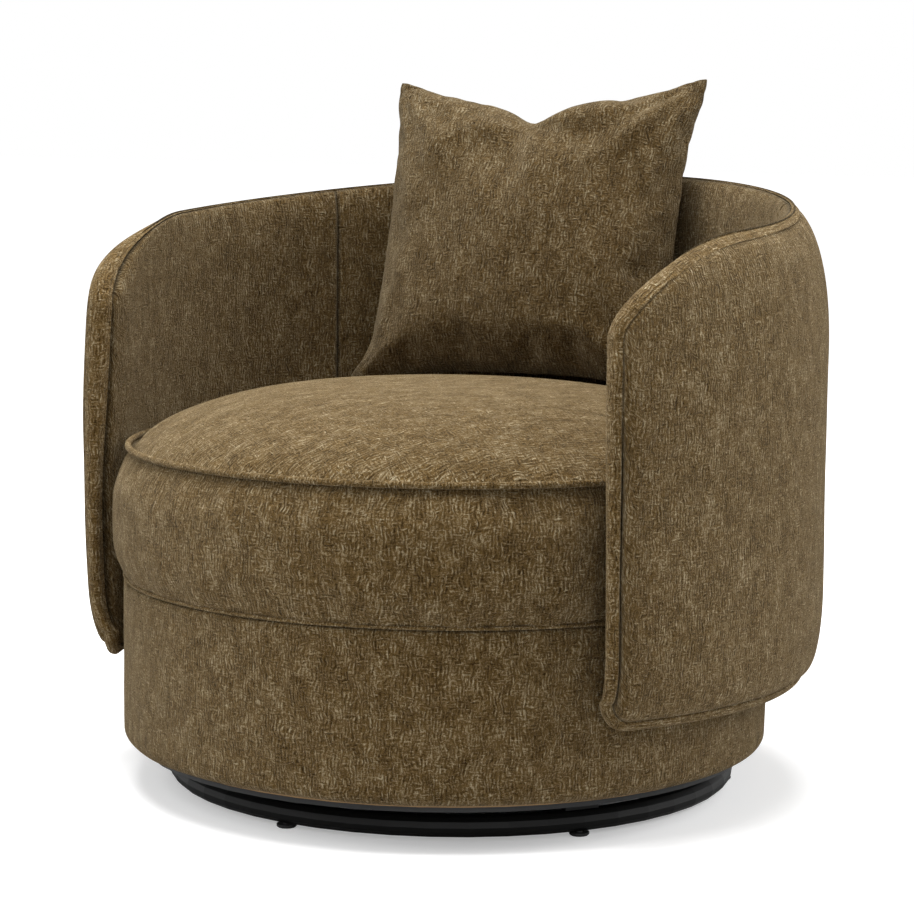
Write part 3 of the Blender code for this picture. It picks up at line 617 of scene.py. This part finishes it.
band = {
    "lowWidth": 0.0190,
    "highWidth": 0.0285,
    "backWidth": 0.015,
    "widenFrom": 0.280,
    "widenTo": 0.500,
    "narrow": 0.350,
    "crown": 0.0122,
    "crestCrown": 0.0035,
    "ridge": 0.0062,  # a lapped seam's raised strip, as far as its groove
    "groove": 0.0008,
    "grooveWidth": 0.0012,
    "foldWidth": 0.0026,
    "outerSeamShade": 0.25,  # the outer seam is pulled flatter than the inner one, so it takes less painted shade
    "innerDive": 1.6,  # the inner seam is drawn in deeper than the outer one
    "sunk": 0.0026,  # how far both covers dive into the seam
    "diveReach": 0.0036,
    "clothThickness": 0.004,
    "sides": 44,
    "middle": 0.4,  # above this its faces look up, below it down
}
# The liner has an upright seam on each side, where the arm's panel meets the back's.
linerSeam = {
    "length": 0.471,
    "depth": 0.0038,
    "width": 0.0032,
    "plump": 0.0016,  # the cloth stands out a little on both sides of the seam
    "plumpReach": 9,  # in widths
    "shade": 0.6,  # how much of its width takes painted shade
    "ripple": 0.35,  # how uneven its depth is, and how quickly along and up
    "rippleAlong": 60,
    "rippleUp": 40,
    "steps": (-5, -3, -2, -1, 0, 1, 2, 3, 5),  # extra columns beside it, in half widths
}
halfLength = (math.pi - shell["frontAngle"]) * shell["radius"]


def crestHeight(length):
    angle = shell["frontAngle"] + length / shell["radius"]
    share = max(0.0, (angle - shell["crestFlat"]) / (math.pi - shell["crestFlat"]))
    return shell["crestFront"] + (shell["crestBack"] - shell["crestFront"]) * crowded(share)


def topEdge(length):
    left = 1 - clamped(length / shell["cornerDropLength"])
    drop = 1 - (1 - left ** shell["cornerPower"]) ** (1 / shell["cornerPower"])
    return crestHeight(length) - shell["cornerHeight"] * drop


def bottomEdge(length):
    left = 1 - clamped(length / shell["heel"])
    return shell["bottom"] + shell["heel"] * (1 - math.sqrt(1 - left**2))


def rolled(share):
    left = 1 - clamped(share)
    return 1 - math.sqrt(1 - left**2)


def wallThickness(length):
    angle = shell["frontAngle"] + length / shell["radius"]
    ahead = shell["drumOffset"] * math.cos(angle)
    across = shell["drumOffset"] * math.sin(angle)
    return shell["radius"] - ahead - math.sqrt(shell["linerRadius"] ** 2 - across**2)


def topSeamDepth(length):
    full = shell["topShare"] * wallThickness(length)
    return shell["frontSeam"] + (full - shell["frontSeam"]) * smoothStep(length / shell["cornerLength"])


def joined(values):
    return sum(value**3 for value in values) ** (1 / 3)


# A roll that stops short of a quarter round, so that it meets the seam on a slope.
def openRolled(share):
    left = shell["topArc"] * (1 - clamped(share))
    return (1 - math.sqrt(1 - left**2)) / (1 - math.sqrt(1 - shell["topArc"] ** 2))


def outerDepth(length, height):
    top = topSeamDepth(length) * openRolled((topEdge(length) - height) / shell["topRoll"])
    front = shell["frontSeam"] * rolled(length / shell["frontRoll"])
    bottom = shell["bottomSeam"] * rolled((height - bottomEdge(length)) / shell["bottomRoll"])
    return joined((top, front, bottom))


# How far the band has gone over from its crowned foot to its wide, flat crest.
def bandRisen(height):
    return smoothStep((height - band["widenFrom"]) / (band["widenTo"] - band["widenFrom"]))


def bandWidth(length, height):
    back = smoothStep(length / band["narrow"])
    high = band["highWidth"] + (band["backWidth"] - band["highWidth"]) * back
    return band["lowWidth"] + (high - band["lowWidth"]) * bandRisen(height)


def innerDepth(length, height):
    thickness = wallThickness(length)
    weights = (
        rolled((topEdge(length) - height) / shell["linerTopRoll"]),
        rolled(length / shell["linerFrontRoll"]),
        rolled((height - bottomEdge(length)) / shell["linerBottomRoll"]),
    )
    depths = (topSeamDepth(length), shell["frontSeam"], shell["bottomSeam"])
    total = sum(weights)
    seam = sum(w * d for w, d in zip(weights, depths)) / total if total else 0.0
    return thickness - (thickness - seam - bandWidth(length, height)) * min(1.0, joined(weights))


# The crest climbs from the band's outer seam to its inner one.
def crestClimb(length, height, depth):
    near = 1 - smoothStep((topEdge(length) - height) / shell["crestLiftReach"])
    across = (depth - topSeamDepth(length)) / bandWidth(length, topEdge(length))
    return shell["crestLift"] * smoothStep(length / shell["cornerLength"]) * near * clamped(across)


# side is -1 for the left arm and 1 for the right one; both meet at the back.
def shellPoint(side, length, height, depth):
    risen = clamped((height - shell["bottom"]) / (shell["crestFront"] - shell["bottom"]))
    belly = math.sin(math.pi * risen) * (1 - smoothStep(length / shell["bellyLength"]))
    angle = shell["frontAngle"] + (length - shell["bellyForward"] * belly) / shell["radius"]
    radius = shell["radius"] + shell["bellyOut"] * belly - depth
    return onCircle(radius, side * angle, height + crestClimb(length, height, depth), swivelY)


shellCells = {"corner": 30, "side": 62, "rows": 84}  # of the panel from an arm's front to the back


# Columns crowd towards the arm's front edge.
def columnLength(index):
    past = index - shellCells["corner"]
    if past < 0:
        return shell["cornerLength"] * (index / shellCells["corner"]) ** 2
    return shell["cornerLength"] + (halfLength - shell["cornerLength"]) * past / shellCells["side"]


shellLengths = [columnLength(index) for index in range(shellCells["corner"] + shellCells["side"] + 1)]


def rowHeight(length, row):
    spread = crowded(row / shellCells["rows"])
    return bottomEdge(length) + (topEdge(length) - bottomEdge(length)) * spread


# Close to a seam the cloth turns down into it.
def dive(distance):
    return band["sunk"] * max(0.0, 1 - distance / band["diveReach"]) ** 2


# Weight of the painted shade in the fold of a seam, within its width of the stitches.
def seamShadeAt(distance):
    return max(0.0, 1 - distance / band["foldWidth"])


# Both arms and the back in one sheet; extra adds columns at the lengths that it names.
def coverMesh(name, depthAt, inwards, extra=()):
    lengths = sorted(shellLengths + list(extra))
    half = len(lengths) - 1

    # Length and height of a point, and how far the nearest edge is.
    def spotAt(column, row):
        length = lengths[min(column, 2 * half - column)]
        height = rowHeight(length, row)
        return length, height, min(topEdge(length) - height, height - bottomEdge(length), length)

    def place(column, row):
        length, height, edge = spotAt(column, row)
        depth = depthAt(length, height) + inwards * dive(edge)
        return shellPoint(-1 if column < half else 1, length, height, depth)

    # Weight of the painted shade beside the edges' seams, and along the liner's upright seam.
    def seam(column, row):
        length, height, edge = spotAt(column, row)
        if not extra:
            return seamShadeAt(edge) * band["outerSeamShade"]
        off = (length - linerSeam["length"]) / (linerSeam["shade"] * linerSeam["width"])
        return max(seamShadeAt(edge), math.exp(-(off**2)))

    return gridMesh(name, 2 * half, shellCells["rows"], place, seam=seam)


# Gives a cover its cloth's thickness, inwards.
def thicken(piece, thickness):
    solid = piece.modifiers.new("Thickness", "SOLIDIFY")
    solid.thickness = thickness
    solid.offset = -1


outerMesh = coverMesh("shellOuterCover", outerDepth, 1.0)
turnFaces(outerMesh, fromSwivel)
swell(outerMesh, shell["uneven"], shell["unevenSize"], 1)
pads = ["shell_outer_pad"]
outerCover = addPiece("shellOuterCover", outerMesh, coverCloth, "seat", pads)
thicken(outerCover, shell["clothThickness"])

seamColumns = [linerSeam["length"] + step * linerSeam["width"] / 2 for step in linerSeam["steps"]]


# Depth of the liner with its upright seam, where the cloth turns out towards the stuffing.
def linerSurface(length, height):
    off = abs(length - linerSeam["length"]) / linerSeam["width"]
    spot = Vector((length * linerSeam["rippleAlong"], height * linerSeam["rippleUp"], 2.0))
    plump = linerSeam["plump"] * math.exp(-((off / linerSeam["plumpReach"]) ** 2))
    drawn = linerSeam["depth"] * (1 + linerSeam["ripple"] * noise.noise(spot)) + plump
    return innerDepth(length, height) + plump - drawn * math.exp(-(off**2))


linerMesh = coverMesh("shellLinerCover", linerSurface, -band["innerDive"], seamColumns)
turnFaces(linerMesh, lambda place: -fromSwivel(place))
linerCover = addPiece("shellLinerCover", linerMesh, linerCloth, "seat", ["shell_liner"])
thicken(linerCover, shell["clothThickness"])


# Round the whole shell: along the bottom, up the right arm's front, over the crest and down.
def outlinePath():
    rising = [(0.0, rowHeight(0.0, row)) for row in range(1, shellCells["rows"])]
    one = [(1, length, bottomEdge(length)) for length in reversed(shellLengths)]
    one += [(1, *spot) for spot in rising]
    one += [(1, length, topEdge(length)) for length in shellLengths]
    other = [(-1, length, height) for _, length, height in reversed(one[1:-1])]
    return one + other


# For each place on the path, the direction away from the panel in length and height.
def outwardNormals(path):
    normals = []
    for index, (side, length, height) in enumerate(path):
        if abs(length - halfLength) < 1e-6:  # the middle of the back
            normals.append(Vector((0, -1 if height < shell["crestFront"] / 2 else 1)))
            continue
        before, after = path[index - 1], path[(index + 1) % len(path)]
        run = Vector((after[1] - before[1], after[2] - before[2])).normalized()
        normals.append(Vector((-run.y, run.x)) * side)
    return normals


def bandMesh(name):
    path = outlinePath()
    normals = outwardNormals(path)
    count = len(path)
    sides = band["sides"]

    # How far out on the arch a place lies, and how far it stands up.
    def arched(column, around):
        side, length, height = path[column % count]
        width = bandWidth(length, height)
        share = around / sides
        arch = smoothStep(length / shell["cornerLength"]) * bandRisen(height)
        across = width * (crowded(share) + (share - crowded(share)) * arch)
        crown = band["crown"] + (band["crestCrown"] - band["crown"]) * arch
        return across, crown * math.sin(math.pi * share), crown

    # Weight of the painted shade beside the band's outer and inner seams.
    def seam(column, around):
        side, length, height = path[column % count]
        across, stand, crown = arched(column, around)
        atInner = seamShadeAt(math.hypot(bandWidth(length, height) - across, stand))
        return max(band["outerSeamShade"] * seamShadeAt(math.hypot(across, stand)), atInner)

    def place(column, around):
        side, length, height = path[column % count]
        normal = normals[column % count]
        width = bandWidth(length, height)
        across, stand, crown = arched(column, around)
        fromOuter = math.hypot(across, stand)
        fromInner = math.hypot(width - across, stand)
        away = Vector(((across - width / 2) / (width / 2) ** 2, stand / crown**2)).normalized()
        offs = [(reach - band["ridge"]) / band["grooveWidth"] for reach in (fromOuter, fromInner)]
        groove = sum(math.exp(-(off**2)) for off in offs)
        across += dive(fromOuter) - band["innerDive"] * dive(fromInner) - away.x * band["groove"] * groove
        stand -= away.y * band["groove"] * groove
        depth = outerDepth(length, height) + across
        return shellPoint(side, length + normal.x * stand, height + normal.y * stand, depth)

    return gridMesh(name, count, sides, place, wrap=True, turned=True, seam=seam)


edgeMesh = bandMesh("shellEdgeBand")
turnFaces(edgeMesh, lambda place: Vector((0, 0, place.z - band["middle"])))
edgeBand = addPiece("shellEdgeBand", edgeMesh, bandCloth, "seat", ["shell_band"])
thicken(edgeBand, band["clothThickness"])
print("shell")


# Drum cover

drum = {
    "radius": 0.368,
    "bottom": 0.051,
    "corner": 0.013,
    "top": 0.2367,
    "inner": 0.354,
    "seamDive": 0.003,
    "barrel": 0.0016,  # how far the wall stands out halfway up
    "wallShare": 0.985,  # where the wall ends and the top seam begins
    "columns": 180,
    "cornerRows": 8,
    "wallRows": 25,
    "uneven": 0.0012,
    "unevenSize": 0.09,
    "fill": 0.9,
}
wall = drum["top"] - drum["bottom"] - drum["corner"]
drumRows = [(drum["inner"], drum["bottom"])]  # radius and height
for step in range(drum["cornerRows"] + 1):
    swing = step / drum["cornerRows"] * math.pi / 2
    out = drum["radius"] - drum["corner"] * (1 - math.sin(swing))
    drumRows.append((out, drum["bottom"] + drum["corner"] * (1 - math.cos(swing))))
for step in range(1, drum["wallRows"] + 1):
    share = step / drum["wallRows"]
    out = drum["radius"] + drum["barrel"] * math.sin(math.pi * share)
    drumRows.append((out, drum["bottom"] + drum["corner"] + wall * share * drum["wallShare"]))
drumRows.append((drum["radius"] - drum["seamDive"], drum["top"]))
drumRows.append((drum["inner"], drum["top"]))


def drumPoint(column, row):
    out, height = drumRows[row]
    return onCircle(out, 2 * math.pi * column / drum["columns"], height, drumY)


drumMesh = gridMesh("drumCover", drum["columns"], len(drumRows) - 1, drumPoint, wrap=True)
swell(drumMesh, drum["uneven"], drum["unevenSize"], 3)
drumCover = addPiece("drumCover", drumMesh, coverCloth, "seat", ["drum_pad"])
print("drum")


# Seat cushion

cushion = {
    "bottom": 0.237,
    "height": 0.147,
    "frontRadius": 0.380,
    "sideRadius": 0.367,
    "seamRadius": 0.365,
    "weltRadius": 0.3592,
    "crown": 0.0650,
    "crownPower": 3.6,
    "openAngle": math.radians(52),
    "closedAngle": math.radians(66),
    "columns": 132,
    "sideRows": 18,
    "crownRows": 26,
    "keptFromLiner": 0.0012,
    "tuck": 0.0026,  # how far the cloth is drawn in below the cord
    "tuckBelow": 0.0045,
    "tuckBelowWidth": 0.0018,
    "tuckTop": 1.7,  # how much further it is drawn in above the cord
    "tuckAbove": 0.0040,
    "tuckFrom": 0.002,  # hidden under the cord
    "shadeAt": 0.002,  # place of the cord's shade on the wall, and its reach there and on the crown
    "shadeBelow": 0.003,
    "shadeAbove": 0.0045,
    "topCurve": 0.66,  # how squarely the wall turns towards its top and bottom seams
    "lowCurve": 0.52,
    "easeInCloth": 0.014,  # how much larger the cover is cut than the form
    "travel": 0.006,  # how far the filling moves the cloth, and how far from the cord
    "travelReach": 0.022,
    "gather": 0.0022,  # depth, place and pitch of the gathers beside the cord
    "gatherAt": 0.010,
    "gatherReach": 0.016,
    "gatherPitch": 0.021,
    "gatherFrom": 0.002,
    "gatherTo": 0.06,
    "rimShare": 0.9,  # the top seam lies past this share of the cord's circle
    "near": 0.0001,
    "fill": 0.8,
}
cushion["top"] = cushion["bottom"] + cushion["height"]


def cushionSide(angle):
    fromFront = abs((angle + math.pi) % (2 * math.pi) - math.pi)
    closed = smoothStep((fromFront - cushion["openAngle"]) / (cushion["closedAngle"] - cushion["openAngle"]))
    return cushion["frontRadius"] + (cushion["sideRadius"] - cushion["frontRadius"]) * closed


def cushionPoint(column, row):
    angle = 2 * math.pi * column / cushion["columns"]
    if row == 0:
        return Vector((0, drumY, cushion["bottom"]))
    if row <= 1 + cushion["sideRows"]:
        share = crowded((row - 1) / cushion["sideRows"])
        straight = cushion["seamRadius"] + (cushion["weltRadius"] - cushion["seamRadius"]) * share
        out = cushionSide(angle) - (cushion["seamRadius"] + cushion["weltRadius"]) / 2
        bulge = math.sin(math.pi * share) ** (cushion["topCurve"] if share > 0.5 else cushion["lowCurve"])
        below = cushion["height"] * (1 - share)
        off = (below - cushion["tuckBelow"]) / cushion["tuckBelowWidth"]
        tucked = cushion["tuck"] * math.exp(-(off**2))
        height = cushion["bottom"] + cushion["height"] * share
        return onCircle(straight + out * bulge - tucked, angle, height, drumY)
    share = (row - 1 - cushion["sideRows"]) / cushion["crownRows"]
    radiusShare = math.cos(math.pi / 2 * share) if share < 1 else 0.0
    rise = cushion["crown"] * (1 - radiusShare ** cushion["crownPower"])
    inwards = cushion["weltRadius"] * (1 - radiusShare)
    tucked = math.exp(-((inwards / cushion["tuckAbove"] - 1) ** 2)) * min(1.0, inwards / cushion["tuckFrom"])
    rise -= cushion["tuckTop"] * cushion["tuck"] * tucked
    return onCircle(cushion["weltRadius"] * radiusShare, angle, cushion["top"] + rise, drumY)


# The cloth beside the cord lies in its shade.
def cushionFold(column, row):
    if row == 0:
        return 0.0
    if row <= 1 + cushion["sideRows"]:
        below = (1 - crowded((row - 1) / cushion["sideRows"])) * cushion["height"]
        return 0.5 * max(0.0, 1 - abs(below - cushion["shadeAt"]) / cushion["shadeBelow"])
    share = (row - 1 - cushion["sideRows"]) / cushion["crownRows"]
    inwards = cushion["weltRadius"] * (1 - math.cos(math.pi / 2 * share))
    return max(0.0, 1 - inwards / cushion["shadeAbove"])


# The crown and the underside are flat-cut panels; the wall's strip runs round.
def cushionLaid(row):
    return row == 0 or row > cushion["sideRows"]


cushionMesh = gridMesh(
    "seatCushionCover",
    cushion["columns"],
    1 + cushion["sideRows"] + cushion["crownRows"],
    cushionPoint,
    wrap=True,
    laid=cushionLaid,
    seam=cushionFold,
)
pads = ["seat_cushion"]
cushionCover = addPiece("seatCushionCover", cushionMesh, coverCloth, "cushion", pads)


# The wall stays clear of the shell's liner, and the underside clear of the deck.
def keepCushion(place):
    out = Vector((place.x, place.y - drumY))
    limit = cushionSide(math.atan2(out.x, -out.y)) + cushion["keptFromLiner"]
    if out.length > limit:
        out *= limit / out.length
    return Vector((out.x, out.y + drumY, max(place.z, cushion["bottom"])))


def fromAxis(place):
    return math.hypot(place.x, place.y - drumY)


def fromCord(place):
    return math.hypot(place.z - cushion["top"], fromAxis(place) - cushion["weltRadius"])


# The cloth moves less and less towards the cord.
def cushionTravel(place):
    return cushion["travel"] * (1 - math.exp(-((fromCord(place) / cushion["travelReach"]) ** 2)))


# Fine gathers that the stitches draw into the cloth beside the cord.
def gather(place, off):
    fade = math.exp(-((off / cushion["gatherReach"]) ** 2))
    pitch = cushion["gatherPitch"]
    return cushion["gather"] * fade * noise.noise(Vector((place.x / pitch, place.y / pitch, place.z / pitch)))


# The stitches hold the cloth at the top seam, and the deck under the whole underside.
heldPoints = []
for vertex in cushionMesh.vertices:
    atRim = fromAxis(vertex.co) > cushion["rimShare"] * cushion["weltRadius"]
    onSeam = atRim and abs(vertex.co.z - cushion["top"]) < cushion["near"]
    if onSeam or vertex.co.z < cushion["bottom"] + cushion["near"]:
        heldPoints.append(vertex.index)
fillCover(cushionCover, heldPoints, cushion["easeInCloth"], cushionTravel, keepCushion)
for vertex in cushionMesh.vertices:
    reach = fromCord(vertex.co)
    if cushion["gatherFrom"] < reach < cushion["gatherTo"]:
        vertex.co.z += gather(vertex.co, reach - cushion["gatherAt"])
cushionMesh.update()
subdivide(cushionCover)

welt = {
    "thickness": 0.0038,  # half of the cord's width
    "height": 0.3862,
    "lowThickness": 0.0022,
    "lowHeight": 0.2394,
    "columns": 200,
    "sides": 12,
    "clear": 0.0002,
}


# A covered cord round the cushion that lies against the seam at the given radius.
def cordRing(name, seamRadius, height, thickness):
    radius = seamRadius + thickness + welt["clear"]

    def place(column, row):
        angle = 2 * math.pi * column / welt["columns"]
        swing = 2 * math.pi * row / welt["sides"]
        lift = thickness * math.sin(swing)
        return onCircle(radius + thickness * math.cos(swing), angle, height + lift, drumY)

    return gridMesh(name, welt["columns"], welt["sides"], place, wrap=True)


weltMesh = cordRing("cushionWeltCord", cushion["weltRadius"], welt["height"], welt["thickness"])
addPiece("cushionWeltCord", weltMesh, bandCloth, "cushion", ["cushion_welt"])
lowMesh = cordRing("cushionLowCord", cushion["seamRadius"], welt["lowHeight"], welt["lowThickness"])
addPiece("cushionLowCord", lowMesh, bandCloth, "cushion")
print("seat cushion")


# Throw pillow

pillow = {
    "x": -0.0595,
    "y": drumY + drum["radius"] - 0.1055,  # its middle stands this far in from the liner
    "yaw": math.radians(12.4),
    "lean": math.radians(19),
    "roll": math.radians(-0.3),
    "width": 0.404,
    "length": 0.397,
    "thickness": 0.136,
    "edge": 0.004,
    "thinnest": 0.001,
    "sideWaist": 0.015,
    "topWaist": 0.021,
    "bottomWaist": 0.028,
    "waistPower": 3.5,
    "tip": 0.030,  # share of the half side that rounds off a corner's tip
    "tipPower": 20,
    "chopDepth": 0.031,
    "chopWidth": 0.040,
    "chopRound": 0.009,
    "chopShift": -0.012,
    "chopFade": 2.2,
    "chopFlat": 0.45,  # how much of the thickness it takes
    "fullness": 0.50,
    "squareness": 2.5,
    "sag": 3.4,  # the stuffing sinks, so the lower half is squarer
    "earOut": 0.015,
    "earRise": 0.013,
    "earReach": 0.15,
    "drift": 1.6,  # how far the folds stray from straight rays, and how quickly
    "driftRate": 14,
    "hollowWidth": 0.013,
    "hollowHeight": 0.030,
    "cells": 56,
    "nestle": 0.0313,  # how deep it sinks into the place where it leans
    "aboveCrown": 0.0025,
    "easeInCloth": 0.022,
    "travel": 0.0045,
    "fill": 0.7,
}
# Soft folds in the front: place over the cut cloth, number of rays, depth and reach in metres.
pillowFolds = [
    {"x": -0.06, "z": 0.88, "rays": 5, "turn": 0.6, "depth": 0.0060, "reach": 0.070},
    {"x": -0.97, "z": 0.97, "rays": 9, "turn": 1.1, "depth": 0.0040, "reach": 0.060},
    {"x": 0.97, "z": 0.97, "rays": 9, "turn": 2.0, "depth": 0.0040, "reach": 0.060},
    {"x": -0.97, "z": -0.97, "rays": 7, "turn": 2.2, "depth": 0.0026, "reach": 0.040},
    {"x": 0.97, "z": -0.97, "rays": 9, "turn": 0.3, "depth": 0.0040, "reach": 0.050},
]
# Small hollows that the stuffing leaves along the bottom seam: place and size.
pillowHollows = [(-0.30, 0.010), (0.16, 0.012), (0.44, 0.010), (-0.62, 0.008), (0.72, 0.009)]
seatHeight = 0.454
pillow["z"] = seatHeight + pillow["length"] / 2 * math.cos(pillow["lean"]) - pillow["nestle"]
leaned = Matrix.Rotation(-pillow["lean"], 4, "X") @ Matrix.Rotation(pillow["roll"], 4, "Y")
pillowTurn = Matrix.Rotation(pillow["yaw"], 4, "Z") @ leaned
pillowPlace = Matrix.Translation((pillow["x"], pillow["y"], pillow["z"])) @ pillowTurn


# A V-shaped dent that a hand's edge leaves in the top edge.
def pillowChop(x, z):
    off = pillow["width"] / 2 * x - pillow["chopShift"]
    soft = math.hypot(off, pillow["chopRound"]) - pillow["chopRound"]
    return math.exp(-soft / pillow["chopWidth"]) * max(0.0, z) ** pillow["chopFade"]


# Depth of the folds that run out from the chop and the corners, and of the hollows at the bottom.
def pillowCrease(x, z):
    wide, tall = pillow["width"] / 2, pillow["length"] / 2
    crease = 0.0
    for fold in pillowFolds:
        away = Vector((wide * (x - fold["x"]), tall * (z - fold["z"])))
        swing = math.atan2(away.y, away.x)
        fade = away.length / fold["reach"] * math.exp(1 - away.length / fold["reach"])
        drift = pillow["drift"] * noise.noise(Vector((*(away * pillow["driftRate"]), fold["turn"])))
        crease += fold["depth"] * fade * math.cos(fold["rays"] * swing + fold["turn"] + drift)
    for spot, size in pillowHollows:
        off = wide * (x - spot) / pillow["hollowWidth"]
        rise = tall * (1 + z) / pillow["hollowHeight"]
        crease -= size * math.exp(-(off**2) - rise**2) * (1 - math.exp(-(rise**2) * 9))
    return crease


# A point of the front (-1) or back (1) panel, x and z running from -1 to 1 over the cut cloth.
def pillowFace(x, z, face):
    wide, tall = pillow["width"] / 2, pillow["length"] / 2
    chop = pillowChop(x, z)
    upright = 1 - abs(z) ** (pillow["squareness"] if z > 0 else pillow["sag"])
    full = ((1 - abs(x) ** pillow["squareness"]) * upright) ** pillow["fullness"]
    depth = pillow["edge"] + (pillow["thickness"] - pillow["edge"]) * full * (1 - pillow["chopFlat"] * chop)
    depth += 2 * pillowCrease(x, z) * min(1.0, 2 * full)
    across = wide * x * (1 - pillow["tip"] * abs(z) ** pillow["tipPower"])
    across -= pillow["sideWaist"] * x * (1 - z**4)
    rise = pillow["topWaist"] if z > 0 else pillow["bottomWaist"]
    height = tall * z * (1 - pillow["tip"] * abs(x) ** pillow["tipPower"])
    height -= rise * z * (1 - abs(x) ** pillow["waistPower"]) + pillow["chopDepth"] * chop
    # The lower left corner stands out as an ear and the upper right one stands up.
    low = math.exp(-(((z + 1) / pillow["earReach"]) ** 2))
    across += pillow["earOut"] * low * abs(x) ** 6 * (0.4 if x > 0 else -1.0)
    high = max(0.0, z) ** 6 * abs(x) ** 4
    height += pillow["earRise"] * high * (1.0 if x > 0 else 0.6)
    across += pillow["earRise"] * high * (0.5 if x > 0 else 0.0)
    return Vector((across, max(depth, pillow["thinnest"]) * face / 2, height))


# Steps over a panel, from -1 to 1 and closer at its edges.
def panelStep(step):
    return math.sin(math.pi / 2 * (2 * step / pillow["cells"] - 1))


# Both panels joined at their edges, and the points that lie on that seam.
def pillowMesh(name):
    form = bmesh.new()
    cells = pillow["cells"]
    for face in (-1, 1):
        panel = gridMesh("panel", cells, cells, lambda i, j: pillowFace(panelStep(i), panelStep(j), face))
        form.from_mesh(panel)
        bpy.data.meshes.remove(panel)
    edges = [edge for edge in form.edges if edge.is_boundary]
    seam = sorted({vertex.index for edge in edges for vertex in edge.verts})
    bmesh.ops.bridge_loops(form, edges=edges)
    bmesh.ops.recalc_face_normals(form, faces=form.faces)
    mesh = bpy.data.meshes.new(name)
    form.to_mesh(mesh)
    form.free()
    mesh.shade_smooth()
    return mesh, seam


# The pillow lies on the filled cushion and clear of it.
cushionTop = BVHTree.FromPolygons(
    [vertex.co for vertex in cushionCover.data.vertices],
    [tuple(polygon.vertices) for polygon in cushionCover.data.polygons],
)


def keepPillow(place):
    below = cushionTop.ray_cast(Vector((place.x, place.y, 1)), Vector((0, 0, -1)))[0]
    height = below.z if below else cushion["top"]
    return Vector((place.x, place.y, max(place.z, height + pillow["aboveCrown"])))


pillowForm, seamPoints = pillowMesh("throwPillowCover")
pillowForm.transform(pillowPlace)
pads = ["throw_pillow"]
pillowCover = addPiece("throwPillowCover", pillowForm, pillowCloth, "pillow", pads)
fillCover(pillowCover, seamPoints, pillow["easeInCloth"], lambda place: pillow["travel"], keepPillow)
for vertex in pillowForm.vertices:
    vertex.co = keepPillow(vertex.co)
pillowForm.update()
subdivide(pillowCover)
print("throw pillow")
